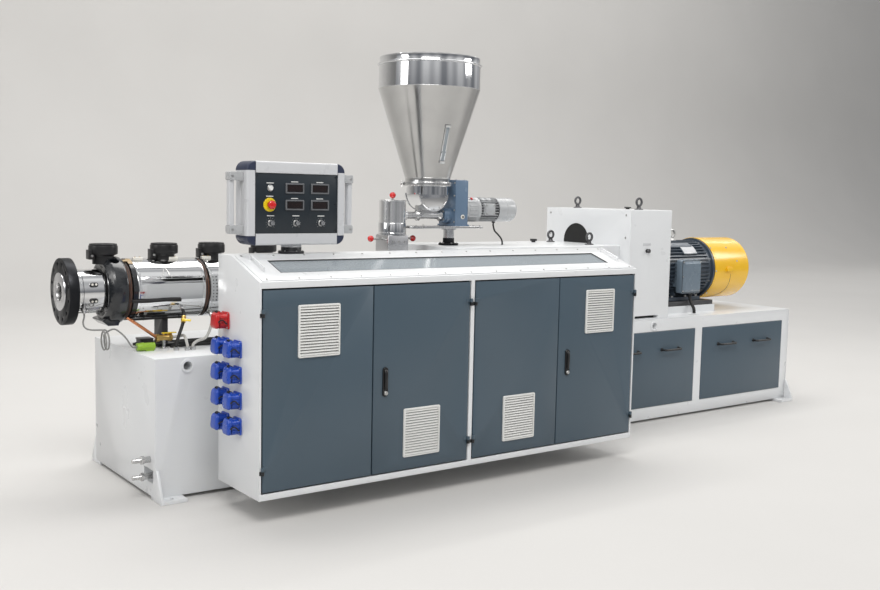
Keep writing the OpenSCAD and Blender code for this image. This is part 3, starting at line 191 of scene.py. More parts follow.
def makeFilmGroup():
    # Sprayed paint: slow changes of tone, orange peel, and dust that settles on what faces up
    tree, given, made = shaderGroup("paintFilm", [("Colour", colourKind, (0.8, 0.8, 0.8, 1)),
        ("Tone", floatKind, 0.05), ("Peel", floatKind, 260.0), ("Dust", floatKind, 0.2),
        ("Dust colour", colourKind, (0.52, 0.47, 0.40, 1)), ("Gloss", floatKind, 0.35),])
    coords = objectCoords(tree)
    slow = noiseNode(tree, coords, 1.9, 4.0)
    tone = times(tree, minus(tree, slow, 0.5), given["Tone"])
    dark = mixColour(tree, 1.0, given["Colour"], plus(tree, 1.0, times(tree, tone, 2.0)), "MULTIPLY")
    flat = mapRange(tree, facingUp(tree), 0.35, 0.95)
    specks = mapRange(tree, noiseNode(tree, coords, 34.0, 8.0, 0.68), 0.42, 0.72)
    dust = times(tree, times(tree, flat, specks), given["Dust"], clamp=True)
    height = addNode(tree, "ShaderNodeSeparateXYZ", {0: coords}).outputs["Z"]
    low = mapRange(tree, height, 0.16, 0.0)
    splash = times(tree, times(tree, low, specks), given["Dust"], clamp=True)
    dirt = plus(tree, dust, splash, clamp=True)
    feed(tree, made["Colour"], mixColour(tree, dirt, dark, given["Dust colour"]))
    rub = times(tree, minus(tree, noiseNode(tree, coords, 7.0, 5.0), 0.5), 0.16)
    rough = plus(tree, plus(tree, given["Gloss"], rub), times(tree, dirt, 0.4), clamp=True)
    feed(tree, made["Roughness"], rough)
    feed(tree, made["Height"], noiseNode(tree, coords, given["Peel"], 2.0))
    return tree


def makeGrainGroup():
    # Rolled, brushed or turned metal: long scratches along one direction, with finger marks over them
    tree, given, made = shaderGroup("metalGrain", [("Colour", colourKind, (0.6, 0.6, 0.6, 1)),
        ("Across", vectorKind, (400.0, 400.0, 8.0)), ("Strength", floatKind, 0.3), ("Gloss", floatKind, 0.25),
        ("Marks", floatKind, 0.2),])
    coords = objectCoords(tree)
    stretched = addNode(tree, "ShaderNodeVectorMath", {0: coords, 1: given["Across"]}, operation="MULTIPLY")
    scratch = noiseNode(tree, stretched, 1.0, 4.0, 0.6)
    marks = mapRange(tree, noiseNode(tree, coords, 11.0, 6.0, 0.6), 0.40, 0.75)
    shade = times(tree, minus(tree, scratch, 0.5), given["Strength"])
    grey = minus(tree, plus(tree, 1.0, shade), times(tree, times(tree, marks, given["Marks"]), 0.45))
    feed(tree, made["Colour"], mixColour(tree, 1.0, given["Colour"], grey, "MULTIPLY"))
    rough = plus(tree, given["Gloss"], times(tree, shade, 0.5))
    rough = plus(tree, rough, times(tree, times(tree, marks, given["Marks"]), 0.5), clamp=True)
    feed(tree, made["Roughness"], rough)
    feed(tree, made["Height"], scratch)
    return tree


def makePoresGroup():
    # Moulded plastic, rubber and castings: fine pitted skin with a slow change of tone
    tree, given, made = shaderGroup("mouldSkin", [("Colour", colourKind, (0.1, 0.1, 0.1, 1)),
        ("Pores", floatKind, 700.0), ("Tone", floatKind, 0.1), ("Gloss", floatKind, 0.45),
        ("Dust", floatKind, 0.15),])
    coords = objectCoords(tree)
    slow = noiseNode(tree, coords, 14.0, 4.0)
    tone = plus(tree, 1.0, times(tree, minus(tree, slow, 0.5), given["Tone"]))
    specks = mapRange(tree, noiseNode(tree, coords, 60.0, 8.0, 0.7), 0.45, 0.75)
    dust = times(tree, times(tree, mapRange(tree, facingUp(tree), 0.2, 1.0), specks), given["Dust"], clamp=True)
    base = mixColour(tree, 1.0, given["Colour"], tone, "MULTIPLY")
    feed(tree, made["Colour"], mixColour(tree, dust, base, (0.45, 0.42, 0.38, 1)))
    rough = plus(tree, given["Gloss"], times(tree, minus(tree, slow, 0.5), 0.2))
    feed(tree, made["Roughness"], plus(tree, rough, times(tree, dust, 0.3), clamp=True))
    feed(tree, made["Height"], noiseNode(tree, coords, given["Pores"], 3.0, 0.6))
    return tree


def makeBraidGroup():
    # Woven sleeve: two crossing families of threads round the cord
    tree, given, made = shaderGroup("braidWeave", [("Colour", colourKind, (0.4, 0.3, 0.2, 1)),
        ("Thread", floatKind, 420.0), ("Contrast", floatKind, 0.5),])
    coords = objectCoords(tree)
    split = addNode(tree, "ShaderNodeSeparateXYZ", {0: coords})
    x, y, z = (split.outputs[k] for k in "XYZ")
    one = plus(tree, plus(tree, x, y), z)
    two = minus(tree, minus(tree, x, y), z)
    first, second = (mathNode(tree, "SINE", times(tree, k, times(tree, given["Thread"], 6.28)))
        for k in (one, two))
    weave = mapRange(tree, times(tree, first, second), -1.0, 1.0)
    shade = minus(tree, 1.0, times(tree, weave, given["Contrast"]))
    feed(tree, made["Colour"], mixColour(tree, 1.0, given["Colour"], shade, "MULTIPLY"))
    feed(tree, made["Roughness"], mapRange(tree, weave, 0.0, 1.0, 0.55, 0.8))
    feed(tree, made["Height"], weave)
    return tree


filmGroup, grainGroup, poresGroup, braidGroup = makeFilmGroup(), makeGrainGroup(), makePoresGroup(), makeBraidGroup()


def colour(red, green, blue):
    return (red, green, blue, 1.0)


def blankMaterial(name):
    material = bpy.data.materials.new(name)
    material.use_nodes = True
    return material, material.node_tree, material.node_tree.nodes["Principled BSDF"]


def addBump(tree, shader, height, strength, depth):
    relief = addNode(tree, "ShaderNodeBump", {"Height": height, "Strength": strength, "Distance": depth})
    feed(tree, shader.inputs["Normal"], relief)


def newMaterial(name, group, groupValues, bump, depth, shaderValues):
    material, tree, shader = blankMaterial(name)
    skin = addNode(tree, "ShaderNodeGroup", node_tree=group)
    for label, value in groupValues.items():
        skin.inputs[label].default_value = value
    feed(tree, shader.inputs["Base Color"], skin.outputs["Colour"])
    feed(tree, shader.inputs["Roughness"], skin.outputs["Roughness"])
    addBump(tree, shader, skin.outputs["Height"], bump, depth)
    for label, value in shaderValues.items():
        shader.inputs[label].default_value = value
    return material


def paint(name, tint, gloss=0.32, dust=0.12, tone=0.05, peel=260.0, coat=0.25):
    return newMaterial(name, filmGroup, {"Colour": colour(*tint), "Gloss": gloss, "Dust": dust, "Tone": tone,
        "Peel": peel}, 0.08, 0.0006, {"Coat Weight": coat, "Coat Roughness": 0.18, "Specular IOR Level": 0.5})


def metal(name, tint, gloss=0.2, across=(400.0, 400.0, 8.0), strength=0.25, marks=0.2, bump=0.06):
    return newMaterial(name, grainGroup, {"Colour": colour(*tint), "Gloss": gloss, "Across": across,
        "Strength": strength, "Marks": marks}, bump, 0.0003, {"Metallic": 1.0})


def moulded(name, tint, gloss=0.45, pores=700.0, tone=0.12, dust=0.12, bump=0.12, coat=0.0):
    return newMaterial(name, poresGroup, {"Colour": colour(*tint), "Gloss": gloss, "Pores": pores, "Tone": tone,
        "Dust": dust}, bump, 0.0004, {"Coat Weight": coat, "Coat Roughness": 0.1})


def braided(name, tint, contrast=0.5):
    return newMaterial(name, braidGroup, {"Colour": colour(*tint), "Thread": 420.0, "Contrast": contrast}, 0.5,
        0.0006, {"Sheen Weight": 0.2, "Sheen Roughness": 0.5})


def clearGlass(name, tint, alpha=0.35):
    material, tree, shader = blankMaterial(name)
    coords = objectCoords(tree)
    dust = mapRange(tree, noiseNode(tree, coords, 9.0, 7.0, 0.6), 0.45, 0.8, 0.03, 0.16)
    feed(tree, shader.inputs["Roughness"], dust)
    feed(tree, shader.inputs["Base Color"], mixColour(tree, noiseNode(tree, coords, 2.0), colour(*tint),
        colour(*[c * 0.9 for c in tint])))
    shader.inputs["Alpha"].default_value = alpha
    shader.inputs["IOR"].default_value = 1.5
    return material


finishes = {
    "white": paint("whitePaint", (0.76, 0.775, 0.79), gloss=0.30, dust=0.06),
    "slate": paint("slatePaint", (0.061, 0.094, 0.124), gloss=0.36, dust=0.06, tone=0.10, peel=420.0, coat=0.12),
    "yellow": paint("yellowPaint", (0.86, 0.50, 0.012), gloss=0.24, dust=0.05, coat=0.5),
    "motorGrey": paint("motorPaint", (0.048, 0.066, 0.090), gloss=0.32, dust=0.08, tone=0.12, peel=300.0),
    "boxGrey": paint("terminalBoxPaint", (0.150, 0.195, 0.240), gloss=0.26, dust=0.06, coat=0.35),
    "gearcaseBlue": paint("gearcasePaint", (0.128, 0.196, 0.289), gloss=0.25, dust=0.06, coat=0.4),
    "faceBlack": paint("panelFacePaint", (0.008, 0.015, 0.022), gloss=0.32, dust=0.015, tone=0.15, coat=0.2),
    "blackOxide": metal("blackOxideSteel", (0.030, 0.031, 0.034), gloss=0.36, across=(90.0, 90.0, 90.0),
        strength=0.3, marks=0.5),
    "blackPaint": moulded("blackMetalPaint", (0.010, 0.011, 0.013), gloss=0.34, pores=420.0, dust=0.08),
    "polished": metal("polishedSteel", (0.74, 0.745, 0.75), gloss=0.055, across=(6.0, 300.0, 300.0),
        strength=0.06, marks=0.10, bump=0.015),
    "hopperSteel": metal("hopperSteel", (0.60, 0.598, 0.59), gloss=0.15, across=(260.0, 260.0, 5.0),
        strength=0.10, marks=0.14, bump=0.03),
    "hopperBand": metal("hopperBandSteel", (0.72, 0.725, 0.735), gloss=0.07, across=(5.0, 5.0, 300.0),
        strength=0.05, marks=0.08, bump=0.012),
    "brushed": metal("brushedSteel", (0.60, 0.60, 0.60), gloss=0.24, across=(300.0, 300.0, 12.0),
        strength=0.22, marks=0.15),
    "turned": metal("turnedSteel", (0.62, 0.62, 0.63), gloss=0.20, across=(40.0, 700.0, 40.0), strength=0.2,
        marks=0.1),
    "darkSteel": metal("darkSteel", (0.13, 0.13, 0.135), gloss=0.40, across=(60.0, 60.0, 60.0), strength=0.3,
        marks=0.4),
    "zinc": metal("zincScrews", (0.55, 0.55, 0.54), gloss=0.28, across=(200.0, 200.0, 200.0), strength=0.2,
        marks=0.3),
    "aluminium": moulded("anodisedAluminium", (0.60, 0.61, 0.63), gloss=0.30, coat=0.35, pores=520.0,
        dust=0.04, tone=0.04, bump=0.04),
    "towerSteel": metal("towerSteel", (0.83, 0.83, 0.83), gloss=0.22, across=(40.0, 40.0, 900.0),
        strength=0.12, marks=0.06),
    "ringBlack": moulded("ringBlack", (0.012, 0.014, 0.017), gloss=0.24, coat=0.4, pores=460.0, dust=0.05,
        tone=0.1, bump=0.04),
    "castAlu": moulded("castAluminium", (0.43, 0.44, 0.45), gloss=0.26, coat=0.5, pores=380.0, dust=0.1, bump=0.2),
    "brass": metal("brassFittings", (0.62, 0.43, 0.15), gloss=0.28, across=(120.0, 120.0, 120.0), strength=0.2,
        marks=0.3),
    "copper": metal("copperPipe", (0.66, 0.27, 0.13), gloss=0.26, across=(120.0, 120.0, 120.0), strength=0.2,
        marks=0.4),
    "leverYellow": moulded("leverYellow", (0.80, 0.56, 0.010), gloss=0.30, coat=0.3, dust=0.03),
    "tanBand": moulded("tanBand", (0.42, 0.30, 0.16), gloss=0.40, dust=0.06),
    "bluePlastic": moulded("socketBlue", (0.008, 0.060, 0.42), gloss=0.30, coat=0.3, tone=0.08, dust=0.05),
    "redPlastic": moulded("socketRed", (0.50, 0.010, 0.012), gloss=0.30, coat=0.3, tone=0.08, dust=0.05),
    "ballRed": moulded("ballKnobRed", (0.62, 0.012, 0.012), gloss=0.14, coat=0.6, tone=0.06, dust=0.03),
    "blackPlastic": moulded("blackPlastic", (0.009, 0.009, 0.010), gloss=0.36, dust=0.05),
    "navyPlastic": moulded("capPlastic", (0.020, 0.028, 0.060), gloss=0.40, dust=0.08),
    "palePlastic": moulded("grillePlastic", (0.78, 0.78, 0.76), gloss=0.42, dust=0.10, tone=0.08),
    "ceramic": moulded("ceramicTerminals", (0.78, 0.76, 0.70), gloss=0.25, coat=0.4, dust=0.06, tone=0.08),
    "rubber": moulded("blackRubber", (0.007, 0.007, 0.007), gloss=0.58, pores=500.0, dust=0.05),
    "lead": braided("greyBraid", (0.36, 0.36, 0.35)),
    "brownLead": braided("copperBraid", (0.20, 0.075, 0.035), contrast=0.6),
    "whiteLead": braided("whiteBraid", (0.66, 0.65, 0.62)),
    "blackLead": moulded("blackLead", (0.014, 0.014, 0.015), gloss=0.34, dust=0.12, coat=0.1),
    "greenPlastic": moulded("plugGreen", (0.27, 0.46, 0.030), gloss=0.34, dust=0.04),
    # Near-black and matt: painted shade seen between the grille slats
    "grilleShadeMat": moulded("grilleShadeMat", (0.014, 0.014, 0.014), gloss=0.9, pores=260.0, tone=0.3, bump=0.5),
    "bezelGrey": moulded("meterBezels", (0.135, 0.140, 0.150), gloss=0.40, dust=0.04),
    "meterGlass": moulded("meterGlass", (0.006, 0.003, 0.003), gloss=0.12, coat=0.4, dust=0.02, tone=0.2, bump=0.02),
    "unlitSegments": moulded("unlitSegments", (0.020, 0.006, 0.006), gloss=0.25, dust=0.0, bump=0.0),
    "signalYellow": moulded("stopRingYellow", (0.82, 0.62, 0.010), gloss=0.28, coat=0.3, dust=0.03),
    "buttonWhite": moulded("buttonWhite", (0.78, 0.79, 0.78), gloss=0.28, coat=0.2, dust=0.03),
    "glass": clearGlass("windowGlass", (0.52, 0.58, 0.62), 0.45),
}
print("finishes made:", len(finishes))


# Shapes

def newShape():
    return bmesh.new()


def newShapes(count):
    return [bmesh.new() for _ in range(count)]


def addBox(shape, low, high):
    size = [high[i] - low[i] for i in range(3)]
    middle = [(high[i] + low[i]) / 2 for i in range(3)]
    bmesh.ops.create_cube(shape, size=1.0, matrix=Matrix.Translation(middle) @ Matrix.Diagonal((*size, 1.0)))


def axisFrame(axis):
    ahead = Vector(axis).normalized()
    side = ahead.orthogonal().normalized()
    if abs(ahead.z) < 0.99:
        side = Vector((0, 0, 1)).cross(ahead).normalized()
    return side, ahead.cross(side), ahead


def addRings(shape, rings, closedLoop=False, capped=False):
    # Joins rings of points, each a list of places or one single place, into a skin; capped closes both ends
    made = [[shape.verts.new(p) for p in ring] for ring in rings]
    pairs = list(zip(made, made[1:]))
    if closedLoop:
        pairs.append((made[-1], made[0]))
    for one, two in pairs:
        count = max(len(one), len(two))
        for i in range(count):
            j = (i + 1) % count
            corners = [one[i % len(one)], one[j % len(one)], two[j % len(two)], two[i % len(two)]]
            face = []
            for vert in corners:
                if vert not in face:
                    face.append(vert)
            if len(face) > 2:
                shape.faces.new(face)
    if capped:
        for ring in (made[0], made[-1]):
            if len(ring) > 2:
                shape.faces.new(ring)
    return made


def turns(count):
    return [2 * pi * k / count for k in range(count)]


def circle(middle, side, other, radius, count):
    return [middle + side * (radius * cos(a)) + other * (radius * sin(a)) for a in turns(count)]


def at(radius, along, *offsets):
    # Profile points given as offsets from a radius and from a place on the axis
    return [(radius + r, along + a) for r, a in offsets]


def addTurned(shape, profile, base, steps=48, axis=(0, 0, 1), closedLoop=False):
    # profile is a list of (radius, distance along the axis)
    side, other, ahead = axisFrame(axis)
    base = Vector(base)
    rings = []
    for radius, along in profile:
        middle = base + ahead * along
        rings.append(circle(middle, side, other, radius, steps) if radius else [middle])
    addRings(shape, rings, closedLoop, capped=not closedLoop)


def addRod(shape, start, end, radius, steps=24, chamfer=0.0):
    start, end = Vector(start), Vector(end)
    length = (end - start).length
    if chamfer:
        profile = [(radius - chamfer, 0), (radius, chamfer), (radius, length - chamfer),
            (radius - chamfer, length)]
    else:
        profile = [(radius, 0), (radius, length)]
    addTurned(shape, profile, start, steps, end - start)


def smoothPath(points, rings):
    # Catmull-Rom curve through the points
    points = [Vector(p) for p in points]
    full = [2 * points[0] - points[1], *points, 2 * points[-1] - points[-2]]
    path = []
    spans = len(points) - 1
    for k in range(rings):
        t = k / (rings - 1) * spans
        i = min(int(t), spans - 1)
        u = t - i
        a, b, c, d = full[i:i + 4]
        path.append(0.5 * ((2 * b) + (c - a) * u + (2 * a - 5 * b + 4 * c - d) * u ** 2
            + (3 * b - a - 3 * c + d) * u ** 3))
    return path


def addTube(shape, path, radius, sides=12):
    path = [Vector(p) for p in path]
    side = axisFrame((path[1] - path[0]).normalized())[0]
    rings = []
    for i, point in enumerate(path):
        ahead = (path[min(i + 1, len(path) - 1)] - path[max(i - 1, 0)]).normalized()
        side = (side - ahead * side.dot(ahead)).normalized()
        rings.append(circle(point, side, ahead.cross(side), radius, sides))
    addRings(shape, rings, capped=True)


def lifted(outline, along, axis):
    # An outline drawn in the two other axes, in their order, set at a place along the axis
    index = "xyz".index(axis)
    return [(*point[:index], along, *point[index:]) for point in outline]


def addPrism(shape, outline, low, high, axis="y"):
    ends = [[shape.verts.new(p) for p in lifted(outline, along, axis)] for along in (low, high)]
    shape.faces.new(ends[0])
    shape.faces.new(ends[1])
    count = len(outline)
    for i in range(count):
        j = (i + 1) % count
        shape.faces.new([ends[0][i], ends[0][j], ends[1][j], ends[1][i]])


def roundedOutline(low, high, radius, steps=5, inset=0):
    points = []
    x0, y0 = (v + inset + radius for v in low)
    x1, y1 = (v - inset - radius for v in high)
    for cx, cy, start in ((x1, y1, 0), (x0, y1, 90), (x0, y0, 180), (x1, y0, 270)):
        for k in range(steps + 1):
            a = radians(start + 90 * k / steps)
            points.append((cx + radius * cos(a), cy + radius * sin(a)))
    return points


def addSlab(shape, spot, frame, low, high):
    # A box in a turned frame: low and high are counted along the frame's three axes
    (a0, a1), (b0, b1), (c0, c1) = (sorted(pair) for pair in zip(low, high))
    addRings(shape, [[Vector(spot) + frame[0] * a + frame[1] * b + frame[2] * c for b, c in ((b0, c0), (b1, c0),
        (b1, c1), (b0, c1))] for a in (a0, a1)], capped=True)


def addObject(name, mesh):
    made = bpy.data.objects.new(name, mesh)
    scene.collection.objects.link(made)
    return made


def bevelled(obj, width, segments):
    modifier = obj.modifiers.new("bevel", "BEVEL")
    modifier.width = width / 1000.0
    modifier.segments = segments
    modifier.limit_method = "ANGLE"
    modifier.angle_limit = radians(32)
    modifier.use_clamp_overlap = True
    graph = bpy.context.evaluated_depsgraph_get()
    mesh = bpy.data.meshes.new_from_object(obj.evaluated_get(graph))
    obj.modifiers.clear()
    old = obj.data
    obj.data = mesh
    bpy.data.meshes.remove(old)
    mesh.name = obj.name


def settle(obj, body, slotName, stands, sharp):
    obj.data.shade_smooth()
    obj.data.set_sharp_from_angle(angle=radians(sharp))
    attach(obj, body)
    if stands:
        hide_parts(stands)
    return obj


def dressed(obj, body, slotName, material, stands, sharp):
    obj.data.materials.clear()
    obj.data.materials.append(finishes[material])
    return settle(obj, body, slotName, stands, sharp)


def makePiece(shape, name, slotName, material, bevel=0.0, segments=2, stands=None, sharp=32.0, body="machine"):
    bmesh.ops.recalc_face_normals(shape, faces=shape.faces)
    mesh = bpy.data.meshes.new(name)
    shape.to_mesh(mesh)
    shape.free()
    mesh.transform(toFrame)
    obj = addObject(name, mesh)
    if bevel:
        bevelled(obj, bevel, segments)
    return dressed(obj, body, slotName, material, stands, sharp)


def softened(node, slotName, material, bevel, segments, sharp=32.0):
    # A copy of the CAD solid with merged points and rounded edges, standing for its node
    shape = bmesh.new()
    shape.from_mesh(nodes[node].data)
    bmesh.ops.remove_doubles(shape, verts=shape.verts, dist=2e-5)
    bmesh.ops.dissolve_limit(shape, angle_limit=radians(0.6), verts=shape.verts, edges=shape.edges)
    mesh = bpy.data.meshes.new(node + "Skin")
    shape.to_mesh(mesh)
    shape.free()
    obj = addObject(node + "Skin", mesh)
    bevelled(obj, bevel, segments)
    return dressed(obj, nodes[node]["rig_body"], slotName, material, node, sharp)


# Geometry Nodes

def growTree(name, inputs):
    return newTree(name, "GeometryNodeTree", [("Geometry", geometryKind, None), *inputs],
        [("Geometry", geometryKind)])


def closeTree(tree, geometry, material, output):
    real = addNode(tree, "GeometryNodeRealizeInstances", {"Geometry": geometry})
    done = addNode(tree, "GeometryNodeSetMaterial", {"Geometry": real, "Material": material})
    feed(tree, output["Geometry"], done)


def grown(tree, name, values, body, slotName, base=None, sharp=32.0):
    # Runs the tree on a base mesh and keeps the result as a plain mesh
    host = addObject(name, base or bpy.data.meshes.new(name))
    modifier = host.modifiers.new("grow", "NODES")
    modifier.node_group = tree
    for item in tree.interface.items_tree:
        if item.item_type == "SOCKET" and item.in_out == "INPUT" and item.name in values:
            modifier[item.identifier] = values[item.name]
    graph = bpy.context.evaluated_depsgraph_get()
    mesh = bpy.data.meshes.new_from_object(host.evaluated_get(graph))
    host.modifiers.clear()
    host.data = mesh
    mesh.name = name
    return settle(host, body, slotName, None, sharp)


def pointMesh(name, spots):
    # Points with a facing direction for the screw tree; spots are (place, direction) pairs in millimetres
    mesh = bpy.data.meshes.new(name)
    mesh.from_pydata(place([p for p, _ in spots]), [], [])
    facing = mesh.attributes.new("facing", "FLOAT_VECTOR", "POINT")
    for item, (_, direction) in zip(facing.data, spots):
        item.vector = Vector(direction).normalized()
    return mesh


def makeScrewTree():
    # Cap screws with a hexagon recess, one on each point, standing along its facing
    tree, given, made = growTree("capScrews", [("Head radius", floatKind, 0.006), ("Head height", floatKind,
        0.006), ("Recess", floatKind, 0.5), ("Washer", floatKind, 1.5), ("Finish", materialKind, None),])
    head = addNode(tree, "GeometryNodeMeshCylinder", {"Vertices": 20, "Radius": given["Head radius"],
        "Depth": given["Head height"]})
    hexRadius = times(tree, given["Head radius"], given["Recess"])
    hexagon = addNode(tree, "GeometryNodeMeshCylinder", {"Vertices": 6, "Radius": hexRadius,
        "Depth": given["Head height"]})
    lift = times(tree, given["Head height"], 0.5)
    liftVector = addNode(tree, "ShaderNodeCombineXYZ", {"Z": lift})
    raised = addNode(tree, "GeometryNodeTransform", {"Geometry": hexagon, "Translation": liftVector})
    cut = addNode(tree, "GeometryNodeMeshBoolean", {"Mesh 1": head, "Mesh 2": raised}, operation="DIFFERENCE",
        solver="EXACT")
    seated = addNode(tree, "GeometryNodeTransform", {"Geometry": cut, "Translation": liftVector})
    washerRadius = times(tree, given["Head radius"], given["Washer"])
    washerHeight = times(tree, given["Head height"], 0.3)
    washer = addNode(tree, "GeometryNodeMeshCylinder", {"Vertices": 20, "Radius": washerRadius,
        "Depth": washerHeight})
    both = addNode(tree, "GeometryNodeJoinGeometry")
    feed(tree, both.inputs[0], seated)
    feed(tree, both.inputs[0], washer)
    facing = addNode(tree, "GeometryNodeInputNamedAttribute", {"Name": "facing"}, data_type="FLOAT_VECTOR")
    turn = addNode(tree, "FunctionNodeAlignRotationToVector", {"Vector": facing}, axis="Z")
    spread = addNode(tree, "GeometryNodeInstanceOnPoints", {"Points": given["Geometry"], "Instance": both,
        "Rotation": turn})
    closeTree(tree, spread, given["Finish"], made)
    return tree


screwTree = makeScrewTree()


def addScrews(name, spots, radius, height, washer=1.5, recess=0.5, material="zinc", slotName="brushed_steel",
        body="machine"):
    return grown(screwTree, name, {"Head radius": radius / 1000, "Head height": height / 1000, "Recess": recess,
        "Washer": washer, "Finish": finishes[material]}, body, slotName, base=pointMesh(name, spots), sharp=40)


def boltCircle(x, y, z, radius, count, start):
    # Spots for upright screws on a circle
    angles = [radians(start + 360 / count * k) for k in range(count)]
    return [((x + radius * cos(a), y + radius * sin(a), z), (0, 0, 1)) for a in angles]


# Free leads and hoses, along the same points as their solids

screwAxis = (993.0, 942.0)
baseTop = 660.0
nipples = ((14.0, 35.0), (178.0, 53.0))
coil = {"middle": (-352.0, 866.0, 722.0), "radius": 46.0, "pitch": 14.0, "step": 30, "turn": 660}


def nippleEnd(k, out):
    # A point in front of a hose nipple, at a distance from the barrel's cover
    x, angle = nipples[k]
    a, r = radians(90 + angle), 149.0 + out
    return x, screwAxis[0] - r * sin(a), screwAxis[1] + r * cos(a)


def coilPoints(setup):
    x, y, z = setup["middle"]
    r, pitch = setup["radius"], setup["pitch"]
    return [(x - 1.5 * pitch + pitch * a / 360, y - r * sin(radians(a)), z + r * cos(radians(a)))
        for a in range(0, setup["turn"] + 1, setup["step"])]


cordSetups = {
    "probe_lead": {"diameter": 8, "finish": "lead", "slot": "lead_sheath", "stiffness": "medium", "points": [
        (-443, 905, 846), (-443, 905, 828), (-450, 900, 802), (-444, 890, 780), (-420, 880, 770), *coilPoints(coil),
        (-320, 866, 770), (-292, 850, 752), (-268, 842, 724), (-252, 840, 698), (-238, 840, 682),
        (-227, 840, 681), (-219, 840, 681)]},
    "feeder_lead": {"diameter": 10, "finish": "rubber", "slot": "lead_sheath", "stiffness": "medium", "points": [
        (2056, 993, 1262), (2056, 993, 1246), (2061.5, 983.6, 1213.9), (2079.1, 969.6, 1190.5), (2094.1, 958.1,
            1165.8),
        (2098, 954, 1144), (2098, 954, 1132)]},
    "motor_lead": {"diameter": 21, "finish": "rubber", "slot": "black_rubber", "stiffness": "stiff", "points": [
        (3617.7, 759, 778), (3617.7, 759, 756), (3616.7, 749.6, 736.7), (3616.1, 736.2, 714.3), (3615.6, 722.2,
            695.4),
        (3614.7, 715, 676), (3614.7, 715, baseTop)]},
    "coolant_hose_1": {"diameter": 14, "finish": "whiteLead", "slot": "white_braid", "stiffness": "medium",
        "points": [
        nippleEnd(1, 20), nippleEnd(1, 34), (176, 872, 788), (164, 858, 764), (146, 838, 738), (122, 814, 716),
        (94, 792, 706), (66, 776, 704), (42, 768, 696), (30, 767, 684), (30, 767, 676)]},
    "coolant_hose_2": {"diameter": 14, "finish": "whiteLead", "slot": "white_braid", "stiffness": "medium",
        "points": [
        (-32, 880, 712), (-16, 880, 712), (-2, 876, 714), (8, 864, 718), (11, 844, 722), (9, 820, 722),
        (5, 796, 714), (2, 778, 700), (2, 767, 684), (2, 767, 676)]},
    "coolant_hose_3": {"diameter": 16, "finish": "rubber", "slot": "black_rubber", "stiffness": "medium", "points": [
        nippleEnd(0, 20), nippleEnd(0, 36), (10, 828, 824), (4, 818, 800), (-8, 810, 770), (-24, 802, 736),
        (-38, 794, 706), (-45, 790, 684), (-45, 790, 676)]},
}


def addCords():
    for node, setup in cordSetups.items():
        path = smoothPath(setup["points"], 4 * len(setup["points"]))
        shape = newShape()
        addTube(shape, path, setup["diameter"] / 2, 12)
        piece = makePiece(shape, node + "Sleeve", setup["slot"], setup["finish"], stands=node)


addCords()
print("leads and hoses laid")


# Studio

studio = {"floor": (0.60, 0.59, 0.575), "sky": (0.93, 0.94, 0.96), "horizon": (0.80, 0.81, 0.82), "bandLow": 0.30}


